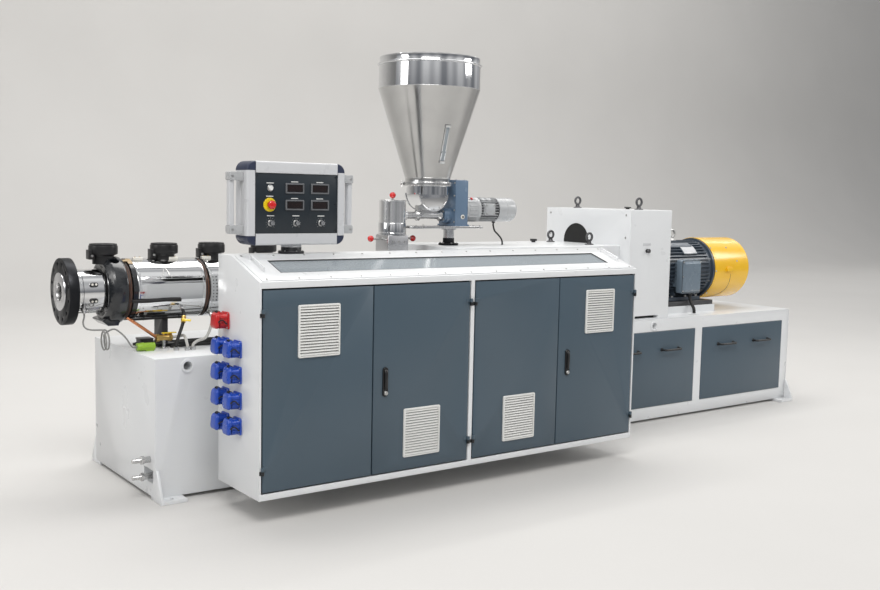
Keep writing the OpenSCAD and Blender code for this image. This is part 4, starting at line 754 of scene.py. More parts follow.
def addStudio(setup):
    material, tree, shader = blankMaterial("studioFloor")
    coords = objectCoords(tree)
    cloud = noiseNode(tree, coords, 0.7, 5.0)
    grit = noiseNode(tree, coords, 60.0, 6.0, 0.7)
    tone = plus(tree, 0.94, plus(tree, times(tree, cloud, 0.08), times(tree, grit, 0.04)))
    feed(tree, shader.inputs["Base Color"], mixColour(tree, 1.0, colour(*setup["floor"]), tone, "MULTIPLY"))
    shader.inputs["Roughness"].default_value = 0.72
    addBump(tree, shader, grit, 0.1, 0.002)
    shape = newShape()
    profile = [(-12.0, 0.0), (9.0, 0.0)] + [(9.0 + 4 * sin(a), 4 - 4 * cos(a)) for a in [radians(k * 9)
        for k in range(1, 11)]] + [(13.0, 12.0)]
    rows = [[shape.verts.new((x, y, z - 0.0005)) for x in (-26.0, 26.0)] for y, z in profile]
    for one, two in zip(rows, rows[1:]):
        shape.faces.new([one[0], one[1], two[1], two[0]])
    bmesh.ops.recalc_face_normals(shape, faces=shape.faces)
    if shape.faces[0].normal.z < 0:
        bmesh.ops.reverse_faces(shape, faces=shape.faces)
    mesh = bpy.data.meshes.new("studioFloor")
    shape.to_mesh(mesh)
    shape.free()
    mesh.materials.append(material)
    mesh.shade_smooth()
    addObject("studioFloor", mesh)

    world = bpy.data.worlds.new("studioSky")
    scene.world = world
    world.use_nodes = True
    tree = world.node_tree
    tree.nodes.clear()
    direction = addNode(tree, "ShaderNodeTexCoord").outputs["Generated"]
    split = addNode(tree, "ShaderNodeSeparateXYZ", {0: direction})
    height = split.outputs["Z"]
    ramp = mapRange(tree, height, -0.05, 0.7)
    sky = mixColour(tree, ramp, colour(*setup["horizon"]), colour(*setup["sky"]))
    path = addNode(tree, "ShaderNodeLightPath")
    # Polished steel mirrors a hall: pale from above, darker towards the horizon, in soft upright bands
    azimuth = mathNode(tree, "ARCTAN2", split.outputs["Y"], split.outputs["X"])
    waves = plus(tree, mathNode(tree, "SINE", times(tree, azimuth, 5.0)), mathNode(tree, "SINE",
        plus(tree, times(tree, azimuth, 13.0), 0.8)))
    bands = mapRange(tree, waves, -1.5, 1.3, setup["bandLow"])
    lift = mapRange(tree, height, 0.02, 0.40, setup["bandLow"])
    hall = mixColour(tree, times(tree, bands, lift), colour(0.07, 0.08, 0.10), colour(1.0, 1.0, 1.0))
    sky = mixColour(tree, path.outputs["Is Glossy Ray"], sky, hall)
    seen = mathNode(tree, "MAXIMUM", path.outputs["Is Camera Ray"], mathNode(tree, "MAXIMUM",
        path.outputs["Is Glossy Ray"], path.outputs["Is Transmission Ray"]))
    strength = plus(tree, 0.42, times(tree, seen, 0.50))
    background = addNode(tree, "ShaderNodeBackground", {"Color": sky, "Strength": strength})
    output = tree.nodes.new("ShaderNodeOutputWorld")
    feed(tree, output.inputs["Surface"], background)

    # Name, place, aim, size and power
    lamps = (
        ("keyLamp", (-3.6, -4.6, 6.4), (0.0, 0.0, 0.6), (4.5, 2.6), 330.0),
        ("topLamp", (0.6, 1.2, 6.8), (0.2, 0.0, 0.8), (7.5, 2.4), 260.0),
        ("endLamp", (-7.2, 0.6, 3.4), (-1.0, 0.0, 0.9), (2.0, 3.0), 62.0),
        ("farLamp", (6.6, -3.4, 4.6), (1.5, 0.0, 0.8), (3.0, 2.4), 150.0),
        ("wallLamp", (5.0, 4.6, 10.0), (5.0, 12.5, 2.6), (26.0, 2.4), 1150.0),
    )  # the last one lights the wall behind
    for name, spot, target, size, power in lamps:
        lamp = bpy.data.lights.new(name, "AREA")
        lamp.shape = "RECTANGLE"
        lamp.size, lamp.size_y = size
        lamp.energy = power
        lamp.color = (1.0, 0.985, 0.96)
        obj = bpy.data.objects.new(name, lamp)
        scene.collection.objects.link(obj)
        aim = (Vector(target) - Vector(spot)).normalized()
        obj.matrix_world = Matrix.Translation(spot) @ aim.to_track_quat("-Z", "Y").to_matrix().to_4x4()
    scene.view_settings.view_transform = "Standard"


addStudio(studio)
print("studio set")


# Places read off the CAD solids, in millimetres

toLocal = toFrame.inverted()


def span(node):
    corners = [toLocal @ (nodes[node].matrix_world @ Vector(c)) for c in nodes[node].bound_box]
    return [Vector([pick(c[i] for c in corners) for i in range(3)]) for pick in (min, max)]


def addRoundedBox(shape, low, high, radius, axis="y"):
    # A box whose four edges along the axis are rounded
    index = "xyz".index(axis)
    flat = [i for i in range(3) if i != index]
    outline = roundedOutline([low[i] for i in flat], [high[i] for i in flat], radius)
    addPrism(shape, outline, low[index], high[index], axis)


def addFrame(shape, outer, inner, low, high):
    # A flat frame between two outlines with as many points
    pairs = ((outer, low), (outer, high), (inner, high), (inner, low))
    addRings(shape, [lifted(outline, along, "y") for outline, along in pairs], closedLoop=True)


def addHexagon(shape, start, end, across):
    addRod(shape, start, end, across / 1.732, 6)


# Rounded copies of plain sheet-metal and machined pieces

softSetups = {
    "base_frame": ("white_paint", "white", 3.0, 3), "base_feet": ("white_paint", "white", 2.0, 2),
    "base_panels": ("slate_paint", "slate", 3.0, 3), "cabinet_shell": ("white_paint", "white", 1.2, 2),
    "window_lid": ("white_paint", "white", 1.2, 2), "panel_foot": ("black_metal", "blackPaint", 2.0, 2),
    "barrel_supports": ("black_metal", "blackPaint", 1.5, 2), "gearbox": ("white_paint", "white", 4.0, 3),
    "drive_cover": ("white_paint", "white", 6.0, 4), "motor_plate": ("dark_steel", "darkSteel", 2.0, 2),
    "door_hinges": ("black_metal", "blackPaint", 0.8, 2), "coolant_fittings": ("brushed_steel", "brushed", 0.8, 2),
    "probe_plug": ("green_plastic", "greenPlastic", 1.2, 2), "panel_face": ("face_paint", "faceBlack", 0.6, 2),
    "ring_cover": ("black_metal", "ringBlack", 1.2, 2), "die_flange": ("black_metal", "blackOxide", 1.5, 2),
}


def softenAll(setups):
    for node, (slotName, finish, width, segments) in setups.items():
        softened(node, slotName, finish, width, segments, sharp=18 if node == "ring_cover" else 32)
    for k in range(1, 5):
        softened("door_%d" % k, "slate_paint", "slate", 2.2, 3)


def tinted(node, extra, chosen):
    # Gives another finish to the faces of a rounded copy whose points all pass the test
    mesh = bpy.data.objects[node + "Skin"].data
    mesh.materials.append(finishes[extra])
    for face in mesh.polygons:
        if all(chosen(toLocal @ mesh.vertices[i].co) for i in face.vertices):
            face.material_index = len(mesh.materials) - 1


softenAll(softSetups)
tinted("die_flange", "turned", lambda p: hypot(p.y - 993, p.z - 942) < 89.2 and p.x < -524.8)
tinted("die_flange", "brushed", lambda p: hypot(p.y - 993, p.z - 942) < 46)
tinted("coolant_fittings", "copper", lambda p: p.x < -100 and p.z > 704 and p.y > 868)
tinted("coolant_fittings", "brass", lambda p: -112.2 < p.x < -31.8 and 692 < p.z < 736.2)
tinted("coolant_fittings", "leverYellow", lambda p: -83 < p.x < -9 and p.z > 731)
print("plain pieces rounded")


# Side panels' pulls: one bent bar each, on two washers

pullSetup = {"length": 172.0, "bar": 14.0, "out": 42.0, "pitch": 380.0, "bend": 16.0}


def barPath(x0, x1, y, z, out, bend):
    points = [(x0, y, z)]
    for cx, start in ((x0 + bend, 180), (x1 - bend, 270)):
        for k in range(7):
            a = radians(start + 15 * k)
            points.append((cx + bend * cos(a), y - out + bend + bend * sin(a), z))
    return points + [(x1, y, z)]


def addPulls(setup):
    low, high = span("panel_pulls")
    panelLow, panelHigh = span("base_panels")
    shape = newShape()
    half = (setup["length"] - setup["bar"]) / 2
    z = (low.z + high.z) / 2
    panelWide = 866.0
    starts = [panelHigh.x - panelWide, panelLow.x]
    for mirrorY in (False, True):
        face = panelHigh.y if mirrorY else panelLow.y
        sign = -1 if mirrorY else 1
        for start in starts:
            for side in (-1, 1):
                x = start + panelWide / 2 + side * setup["pitch"] / 2
                path = [(px, face + sign * (py - face), pz) for px, py, pz in barPath(x - half, x + half, face,
                    z, setup["out"] - setup["bar"] / 2, setup["bend"])]
                addTube(shape, path, setup["bar"] / 2, 16)
                for end in (-1, 1):
                    addTurned(shape, [(12, 0), (12, 3), (10.5, 5)], (x + end * half, face, z), 28,
                        (0, -sign, 0))
    makePiece(shape, "panelPulls", "black_plastic", "blackPlastic", stands="panel_pulls")


addPulls(pullSetup)
print("pulls bent")


# Cabinet: grilles with their slats, locks, seals, window gasket and screws

grilleSetup = {"border": 8.0, "slats": 17, "corner": 8.0}


def makeSlatTree():
    # Slanted slats stacked between the frame's rails
    tree, given, made = growTree("slatStack", [("Width", floatKind, 0.18), ("Pitch", floatKind, 0.012),
        ("Count", intKind, 17), ("Depth", floatKind, 0.010), ("Thickness", floatKind, 0.0018),
        ("Tilt", floatKind, 0.8), ("Finish", materialKind, None),])
    size = addNode(tree, "ShaderNodeCombineXYZ", {"X": given["Width"], "Y": given["Depth"],
        "Z": given["Thickness"]})
    slat = addNode(tree, "GeometryNodeMeshCube", {"Size": size})
    turn = addNode(tree, "ShaderNodeCombineXYZ", {"X": given["Tilt"]})
    tilted = addNode(tree, "GeometryNodeTransform", {"Geometry": slat, "Rotation": turn})
    step = addNode(tree, "ShaderNodeCombineXYZ", {"Z": given["Pitch"]})
    line = addNode(tree, "GeometryNodeMeshLine", {"Count": given["Count"], "Offset": step}, mode="OFFSET")
    stack = addNode(tree, "GeometryNodeInstanceOnPoints", {"Points": line, "Instance": tilted})
    corners = addNode(tree, "GeometryNodeInstanceOnPoints", {"Points": given["Geometry"], "Instance": stack})
    closeTree(tree, corners, given["Finish"], made)
    return tree


slatTree = makeSlatTree()


def addGrille(k, setup):
    node, body = "grille_%d" % k, "door_%d" % k
    low, high = span(node)
    border = setup["border"]
    shape = newShape()
    rounding = setup["corner"]
    outer, middle, inner = (roundedOutline((low.x, low.z), (high.x, high.z), r, 6, inset)
        for r, inset in ((rounding, 0), (rounding - 3, 3), (3, border)))
    rings = [[(x, y, z) for x, z in outline] for outline, y in ((outer, -0.2), (outer, low.y + 3.5),
        (middle, low.y), (inner, low.y), (inner, -0.2))]
    addRings(shape, rings, closedLoop=True)
    makePiece(shape, "grilleFrame%d" % k, "pale_plastic", "palePlastic", stands=node, body=body)
    tall = high.z - low.z - 2 * border
    pitch = tall / setup["slats"]
    spot = pointMesh("grilleStart%d" % k, [(((low.x + high.x) / 2, low.y + 4.2, low.z + border + pitch / 2),
        (0, 0, 1))])
    grown(slatTree, "grilleSlats%d" % k, {"Width": (high.x - low.x - 2 * border + 1) / 1000,
        "Pitch": pitch / 1000, "Count": setup["slats"], "Depth": 0.0108, "Thickness": 0.0017, "Tilt": 0.86,
        "Finish": finishes["palePlastic"]}, body, "pale_plastic", base=spot)
    # A near-black sheet behind the slats stands for the shade inside the grille: painted shade
    shadeBacking = newShape()
    addBox(shadeBacking, (low.x + border - 1, -0.9, low.z + border - 1), (high.x - border + 1, -0.3,
        high.z - border + 1))
    makePiece(shadeBacking, "grilleShadeSheet%d" % k, "pale_plastic", "grilleShadeMat", body=body)


def addSeals():
    # Rubber lips seen in the gaps round the doors
    shape = newShape()
    for k in range(1, 5):
        low, high = span("door_%d" % k)
        x0, x1, z0, z1 = low.x + (0 if k in (2, 4) else 14), high.x, low.z, high.z
        outline, hole = (roundedOutline((x0, z0), (x1, z1), 4, 3, inset) for inset in (-5, 6))
        addFrame(shape, outline, hole, 22, 24.5)
    makePiece(shape, "doorSeals", "black_rubber", "rubber")


def addLock(k):
    # Swing handle: dished plate, rounded lever and round push button with its key slot
    node, body = "lock_%d" % k, "door_%d" % k
    low, high = span(node)
    x, wide, tall = (low.x + high.x) / 2, high.x - low.x, high.z - low.z
    plate = newShape()
    outer, edge, dish = (roundedOutline((low.x, low.z), (high.x, high.z), wide / 2 - r, 9, inset)
        for r, inset in ((0.5, 0), (2.5, 2), (5.5, 5)))
    levels = ((outer, -0.2), (outer, -6), (edge, -9), (dish, -9), (dish, -6.5))
    made = addRings(plate, [[(px, y, pz) for px, pz in outline] for outline, y in levels])
    plate.faces.new(made[-1])
    makePiece(plate, "lockPlate%d" % k, "black_plastic", "blackPlastic", stands=node, body=body)
    lever = newShape()
    rings = []
    for t, half, lift in ((0.0, 5, -9), (0.06, 8, -14), (0.18, 8.5, -18.5), (0.55, 8, -19.5), (0.9, 7, -17),
            (1.0, 4.5, -13)):
        z = high.z - 8 - t * (tall - 42)
        rings.append([(x + half * cos(a), lift + (abs(lift) - 7) * 0.5 * (1 - sin(a)), z) for a in turns(20)])
    addRings(lever, rings, capped=True)
    makePiece(lever, "lockLever%d" % k, "black_plastic", "blackPlastic", bevel=0.8, sharp=40, body=body)
    button = newShape()
    addTurned(button, [(10, 0), (10, 6), (8.6, 8), (8.6, 7.2), (0, 7.2)], (x, -7, low.z + 17), 32, (0, -1, 0))
    addBox(button, (x - 1, -14.9, low.z + 12), (x + 1, -13.6, low.z + 22))
    makePiece(button, "lockButton%d" % k, "black_plastic", "zinc", body=body)


def addWindowTrim():
    # Black gasket round the glass, and screws down the frame's edges, laid out on the slope
    low, high = span("window_glass")
    rise, run = 95.0, 280.0
    length = hypot(rise, run)
    ahead = Vector((0, run / length, rise / length))
    out = Vector((0, -rise / length, run / length))
    start = Vector((0, 0, 1048))
    glassLow, glassWide, lidThick = 84.0, 140.0, 4.0
    x0, x1 = low.x + 10, high.x - 10
    shape = newShape()
    outer, inner = (roundedOutline((x0, glassLow), (x1, glassLow + glassWide), r, 4, inset)
        for r, inset in ((3, 0), (6, 6)))
    rings = [[Vector((px, 0, 0)) + start + ahead * s + out * h for px, s in outline]
        for outline, h in ((outer, 0.2), (outer, lidThick - 0.8), (inner, lidThick - 1.6), (inner, 0.2))]
    addRings(shape, rings, closedLoop=True)
    makePiece(shape, "windowGasket", "black_rubber", "rubber")
    count, screwSpan = 15, 2180
    spots = [(Vector((40 + k * screwSpan / (count - 1), 0, 0)) + start + ahead * s + out * (lidThick - 0.3),
        out) for s in (20, length - 18) for k in range(count)]
    addScrews("windowScrews", spots, radius=4.2, height=2.6, washer=1.4)


for door in range(1, 5):
    addGrille(door, grilleSetup)
addSeals()
for door in (2, 4):
    addLock(door)
addWindowTrim()
print("cabinet dressed")


# Power sockets on the cabinet's end

socketSetup = {"body": 62.0, "lid": 70.0, "flange": 76.0, "pitchY": 124.0, "pitchZ": 113.0, "firstY": 330.0,
    "firstZ": 402.0}


def squareRing(x, side, rounding, y, z):
    return [(x, y + a, z + b) for a, b in roundedOutline((-side / 2, -side / 2), (side / 2, side / 2),
        rounding)]


def addSocket(shape, springs, screws, y, z, setup):
    flange, body, lid = setup["flange"], setup["body"], setup["lid"]
    addRings(shape, [squareRing(x, side, r, y, z) for x, side, r in ((-0.2, flange, 9), (-5, flange, 9),
        (-7, flange - 4, 8), (-7, body, 15), (-42, body, 15))])
    # Long ribs over the body
    for turn in range(4):
        a = radians(90 * turn)
        for i in (-1, 0, 1):
            corners = []
            for x in (-8, -42):
                for along, out in ((i * 15 - 3, body / 2 - 2), (i * 15 + 3, body / 2 - 2),
                        (i * 15 + 3, body / 2 + 3.2), (i * 15 - 3, body / 2 + 3.2)):
                    corners.append((x, y + out * cos(a) - along * sin(a), z + out * sin(a) + along * cos(a)))
            verts = [shape.verts.new(c) for c in corners]
            for face in ((0, 1, 2, 3), (4, 5, 6, 7), (0, 1, 5, 4), (1, 2, 6, 5), (2, 3, 7, 6), (3, 0, 4, 7)):
                shape.faces.new([verts[n] for n in face])
    # Domed spring lid with a rim
    tilt = radians(6)
    made = []
    for out, side, r in ((0, lid, 16), (7, lid, 16), (11, lid - 5, 15), (15, lid - 16, 13),
            (16.2, lid - 34, 9)):
        ring = []
        for _, py, pz in squareRing(0, side, r, 0, -body / 2):
            ring.append((-43 - out * cos(tilt) + pz * sin(tilt), y + py,
                z + body / 2 + pz * cos(tilt) + out * sin(tilt)))
        made.append(ring)
    addRings(shape, made, capped=True)
    addRod(shape, (-40, y - 21, z + body / 2 + 4), (-40, y + 21, z + body / 2 + 4), 6.5, 18)
    # Coil spring on the hinge and the bent catch at the side
    loops = [(-40 + 8.6 * cos(a), y - 14 + 28 * a / (2 * pi * 6), z + body / 2 + 4 + 8.6 * sin(a))
        for a in [2 * pi * 6 * n / 72 for n in range(73)]]
    addTube(springs, loops, 1.1, 6)
    hook = smoothPath([(-14, y - 33, z - 12), (-14, y - 41, z - 12), (-22, y - 44, z - 8), (-30, y - 44, z + 2),
        (-40, y - 43, z + 6), (-48, y - 40, z + 2), (-52, y - 37, z - 4)], 22)
    addTube(springs, hook, 3.2, 8)
    inset = flange / 2 - 8
    screws.extend(((-6.8, y + a * inset, z + b * inset), (-1, 0, 0)) for a in (-1, 1) for b in (-1, 1))


def addSockets(setup):
    springs, screws = newShape(), []
    blue = newShape()
    for row in range(4):
        for column in range(2):
            addSocket(blue, springs, screws, setup["firstY"] - column * setup["pitchY"],
                setup["firstZ"] + row * setup["pitchZ"], setup)
    makePiece(blue, "blueSockets", "blue_plastic", "bluePlastic", bevel=0.8, stands="blue_sockets", sharp=40)
    red = newShape()
    addSocket(red, springs, screws, setup["firstY"], setup["firstZ"] + 4 * setup["pitchZ"], setup)
    makePiece(red, "redSocket", "red_plastic", "redPlastic", bevel=0.8, stands="red_socket", sharp=40)
    makePiece(springs, "socketSprings", "black_metal", "blackPaint")
    addScrews("socketScrews", screws, radius=3.2, height=2.2, washer=1.0, recess=0.45)


addSockets(socketSetup)
print("sockets built")


# Control panel

panelSetup = {"left": 80.0, "right": 580.0, "front": 287.0, "back": 405.0, "low": 1185.0, "high": 1559.0,
              "profile": 38.0, "cap": 42.0, "recess": 5.0}


panelPiece = partial(makePiece, body="control_panel")


def addPanelProfiles(setup):
    # Extruded aluminium rails with fine grooves, one on each side of the face
    x0, x1, y0, y1, z0, z1 = (setup[k] for k in ("left", "right", "front", "back", "low", "high"))
    cap, wide, step = setup["cap"], setup["profile"], 14.0
    shape = newShape()
    depth = y1 - y0
    # Cross-section from the face's edge round the outside to the back, as (out from the face's edge, depth)
    outer = wide + step
    section = [(0, 9), (0, 1.5), (1.5, 0), (outer - 9, 0)]
    section += [(outer - 9 + 9 * sin(a), 9 - 9 * cos(a)) for a in [radians(15 * n) for n in range(1, 6)]]
    section += [(outer, 9)]
    for groove in (26, 40, 76, 90):
        section += [(outer, groove), (outer - 1.8, groove + 1), (outer - 1.8, groove + 4), (outer, groove + 5)]
    section += [(outer, depth - 3), (outer - 3, depth), (0, depth)]
    for sign, edge in ((1, z1), (-1, z0)):
        addRings(shape, [[(x, y0 + d, edge + sign * (o - outer)) for o, d in section]
            for x in (x0 + cap, x1 - cap)])
    side = [(max(o - step, 0), d) for o, d in section]
    for sign, edge in ((1, x1), (-1, x0)):
        addRings(shape, [[(edge + sign * (o - wide), y0 + d, z) for o, d in side]
            for z in (z0 + cap, z1 - cap)])
    addBox(shape, (x0 + 3, y1 - 4, z0 + cap), (x1 - 3, y1 - 0.5, z1 - cap))
    addBox(shape, (x0 + cap, y1 - 4, z0 + 3), (x1 - cap, y1 - 0.5, z1 - 3))
    panelPiece(shape, "panelProfiles", "panel_aluminium", "aluminium", stands="panel_box", sharp=24)
    hub = newShape()
    addTurned(hub, [(47, 0), (47, 9), (44, 11)], ((x0 + x1) / 2, (y0 + y1) / 2, z0 - 11.4), 40)
    panelPiece(hub, "panelHub", "panel_aluminium", "aluminium")


def addPanelCaps(setup):
    x0, x1, y0, y1, z0, z1 = (setup[k] for k in ("left", "right", "front", "back", "low", "high"))
    cap = setup["cap"]
    shape = newShape()
    for sx, x in ((-1, x0), (1, x1)):
        for sz, z in ((-1, z0), (1, z1)):
            cx, cz = x - sx * cap, z - sz * cap
            arc = [radians(90 * n / 10) for n in range(11)]
            rings = []
            for r, y in ((cap, y1 - 1), (cap, y0 + 9), (cap - 1.2, y0 + 5), (cap - 4, y0 + 2),
                    (cap - 8, y0 + 1.2)):
                rings.append([(cx, y, cz)] + [(cx + sx * r * cos(a), y, cz + sz * r * sin(a)) for a in arc])
            addRings(shape, rings, capped=True)
    panelPiece(shape, "panelCaps", "navy_plastic", "navyPlastic", stands="panel_caps", sharp=30)


def addGrips():
    # Flat bar grips on two blocks
    low, high = span("panel_grips")
    shape, feet, screws = newShape(), newShape(), []
    middleY = (low.y + high.y) / 2
    for side in (-1, 1):
        near = panelSetup["left"] if side < 0 else panelSetup["right"]
        far = low.x if side < 0 else high.x
        x0, x1 = sorted((near, far))
        for z in (low.z, high.z - 40):
            addRoundedBox(feet, (x0 + (0 if side < 0 else 0.2), middleY - 23.5, z + 0.5),
                (x1 - (0.2 if side < 0 else 0), middleY + 23.5, z + 39.5), 7)
            screws.append(((far - side * 13, middleY - 23.3, z + 20), (0, -1, 0)))
        bar0, bar1 = sorted((far - side * 26, far))
        section = roundedOutline((bar0, middleY - 15.5), (bar1, middleY + 15.5), 7, 6)
        rings = [[(px, py, z) for px, py in section] for z in (low.z + 39, high.z - 39)]
        addRings(shape, rings, capped=True)
    panelPiece(shape, "gripBars", "panel_aluminium", "aluminium", stands="panel_grips", sharp=30)
    panelPiece(feet, "gripFeet", "panel_aluminium", "castAlu", bevel=2.0, segments=3)
    addScrews("gripScrews", screws, radius=4.5, height=2.5, washer=1.0, slotName="panel_aluminium",
        body="control_panel")


meterSetup = {"wide": 94.0, "tall": 47.0, "deep": 7.0, "xs": (317.0, 447.0), "zs": (1366.0, 1440.8), "face": 292.0}


def addMeters(setup):
    # Bezel, sunk dark window, and unlit figure bars behind it
    bezel, window, bars = newShapes(3)
    y, deep = setup["face"], setup["deep"]
    w, h = setup["wide"] / 2, setup["tall"] / 2
    for x in setup["xs"]:
        for z in setup["zs"]:
            steps = ((0, 4, y - 0.2), (0, 4, y - deep + 2), (2, 3, y - deep + 0.1), (6, 2, y - deep + 0.1),
                (7, 1.5, y - deep + 2.4))
            addRings(bezel, [lifted(roundedOutline((x - w, z - h), (x + w, z + h), r, 4, inset), depth, "y")
                for inset, r, depth in steps])
            front = y - deep + 2.0
            addBox(window, (x - w + 7, front, z - h + 7), (x + w - 7, front + 1, z + h - 7))
            for digit in range(4):
                dx = x - 26 + digit * 16
                for bx, bz, bw, bh in ((0, 11, 8, 2), (0, 0, 8, 2), (0, -11, 8, 2), (-5, 5.5, 2, 8),
                        (5, 5.5, 2, 8), (-5, -5.5, 2, 8), (5, -5.5, 2, 8)):
                    lean = 0.1 * bz
                    addBox(bars, (dx + lean + bx - bw / 2, front - 0.25, z + bz - bh / 2 - 0.3),
                        (dx + lean + bx + bw / 2, front + 0.2, z + bz + bh / 2 - 0.3))
    panelPiece(bezel, "meterBezels", "black_plastic", "bezelGrey", stands="panel_meters")
    panelPiece(window, "meterWindows", "black_plastic", "meterGlass")
    panelPiece(bars, "meterSegments", "black_plastic", "unlitSegments")


switchSetup = {"face": 292.0, "stop": (192.0, 1366.0), "button": (194.0, 1440.8), "knobs": (197.0, 324.0,
    454.0), "knobZ": 1284.1}


def addSwitches(setup):
    y = setup["face"]
    ahead = (0, -1, 0)
    x, z = setup["stop"]
    ring = newShape()
    addTurned(ring, [(31, 0), (31, 2.2), (29, 4.6), (24, 5), (15, 5), (15, 3)], (x, y, z), 56, ahead)
    panelPiece(ring, "stopRing", "yellow_paint", "signalYellow", stands="panel_switches")
    head = newShape()
    addTurned(head, [(13, 3), (13, 16), (15, 18), (19.4, 20), (20, 22.5), (19.6, 26), (17, 30), (12, 32.2),
        (5, 32.9), (0, 33)], (x, y, z), 56, ahead)
    panelPiece(head, "stopMushroom", "red_plastic", "ballRed", sharp=50)
    x, z = setup["button"]
    collar, cap = newShape(), newShape()
    addTurned(collar, [(15, 0), (15, 4), (13.5, 5.5), (12.2, 5.5), (12.2, 3)], (x, y, z), 44, ahead)
    addTurned(cap, [(11.6, 2), (11.6, 9), (10.4, 11), (7, 11.6), (0, 11.8)], (x, y, z), 44, ahead)
    panelPiece(cap, "startButton", "pale_plastic", "buttonWhite", sharp=40)
    knobs, lines, ticks = newShapes(3)
    for x in setup["knobs"]:
        z = setup["knobZ"]
        addTurned(collar, [(14.5, 0), (14.5, 2.5), (13, 4)], (x, y, z), 44, ahead)
        # Knurled knob with a pointer line
        waves = [(10.6 + 0.5 * (n % 2), a) for n, a in enumerate(turns(48))]
        made = addRings(knobs, [[(x + r * scale * cos(a), y - along, z + r * scale * sin(a)) for r, a in waves]
            for scale, along in ((1.0, 4), (1.0, 5), (1.0, 19.5), (0.92, 22))])
        knobs.faces.new(made[-1])
        addRod(lines, (x, y - 22.2, z), (x + 7.2, y - 22.2, z + 5.2), 0.9, 8)
        for k in range(11):
            a, reach = radians(225 - 27 * k), 23.5 if k % 5 else 25.5
            addRod(ticks, *((x + r * cos(a), y - 0.35, z + r * sin(a)) for r in (21, reach)), 0.45, 6)
    panelPiece(collar, "switchCollars", "brushed_steel", "zinc")
    panelPiece(knobs, "dialKnobs", "panel_aluminium", "turned", sharp=20)
    panelPiece(lines, "dialPointers", "black_plastic", "blackPlastic")
    panelPiece(ticks, "dialTicks", "pale_plastic", "buttonWhite")


labelSetup = {"size": (36.0, 3.6), "proud": 0.5, "overMeter": 29.5, "overButton": 22.0, "overStop": 38.0,
    "overKnob": 33.0}


def addBlankLabels(setup, meters, switches):
    # Blank strips over each meter, button and knob
    strips = newShape()
    spots = [(x, z + setup["overMeter"]) for x in meters["xs"] for z in meters["zs"]]
    spots += [(switches["button"][0], switches["button"][1] + setup["overButton"]),
        (switches["stop"][0], switches["stop"][1] + setup["overStop"])]
    spots += [(x, switches["knobZ"] + setup["overKnob"]) for x in switches["knobs"]]
    wide, tall = setup["size"]
    y = meters["face"]
    for x, z in spots:
        addRoundedBox(strips, (x - wide / 2, y - setup["proud"], z - tall / 2), (x + wide / 2, y + 0.1,
            z + tall / 2), 1.2)
    panelPiece(strips, "blankLabels", "pale_plastic", "buttonWhite")


def addPanelScrews(setup):
    spots = []
    for x in (setup["left"] + setup["profile"] + 12, setup["right"] - setup["profile"] - 12):
        for z in (setup["low"] + setup["profile"] + 26, (setup["low"] + setup["high"]) / 2,
                setup["high"] - setup["profile"] - 26):
            spots.append(((x, setup["front"] + setup["recess"] + 0.1, z), (0, -1, 0)))
    addScrews("faceScrews", spots, radius=3.4, height=1.6, washer=1.0, material="blackPaint",
        slotName="black_metal", body="control_panel")
    low, high = span("panel_foot")
    foot = boltCircle((low.x + high.x) / 2, (low.y + high.y) / 2, low.z + 11.8, 53, 6, 30)
    addScrews("footScrews", foot, radius=3.6, height=3.4, washer=1.0, slotName="black_metal")


addPanelProfiles(panelSetup)
addPanelCaps(panelSetup)
addGrips()
addMeters(meterSetup)
addSwitches(switchSetup)
addBlankLabels(labelSetup, meterSetup, switchSetup)
addPanelScrews(panelSetup)
print("control panel built")


# Barrel: band heater, polished covers, wound leads and cooling fans

barrelSetup = {"y": 993.0, "z": 942.0, "die": -525.0, "heater": (-480.0, -340.3, 103.0),
               "cover": 149.0, "spans": ((-206.0, 132.0), (156.0, 399.0), (423.0, 829.0), (853.0, 1196.0)),
               "bundles": (-240.0, 144.0, 411.0, 841.0), "bundleRadius": 135.3, "bundleThick": 11.7,
               "fans": (-323.0, -24.0, 224.0, 515.0), "fanLow": 1105.0, "fanHigh": 58.0, "fanRadius": 67.0}


def around(x, radius, degrees):
    # A place at a radius from the screw axis; 0 degrees faces the front, 90 faces up
    a = radians(degrees)
    return Vector((x, barrelSetup["y"] - radius * cos(a), barrelSetup["z"] + radius * sin(a)))


def outward(degrees):
    a = radians(degrees)
    return Vector((0, -cos(a), sin(a)))


def addShellBox(shape, x0, x1, radius, low, high, thick, steps=6):
    # A curved strip lying on a drum, between two angles
    rings = []
    for k in range(steps + 1):
        a = low + (high - low) * k / steps
        rings.append([around(x, r, a) for x, r in ((x0, radius), (x1, radius), (x1, radius + thick),
            (x0, radius + thick))])
    addRings(shape, rings, capped=True)


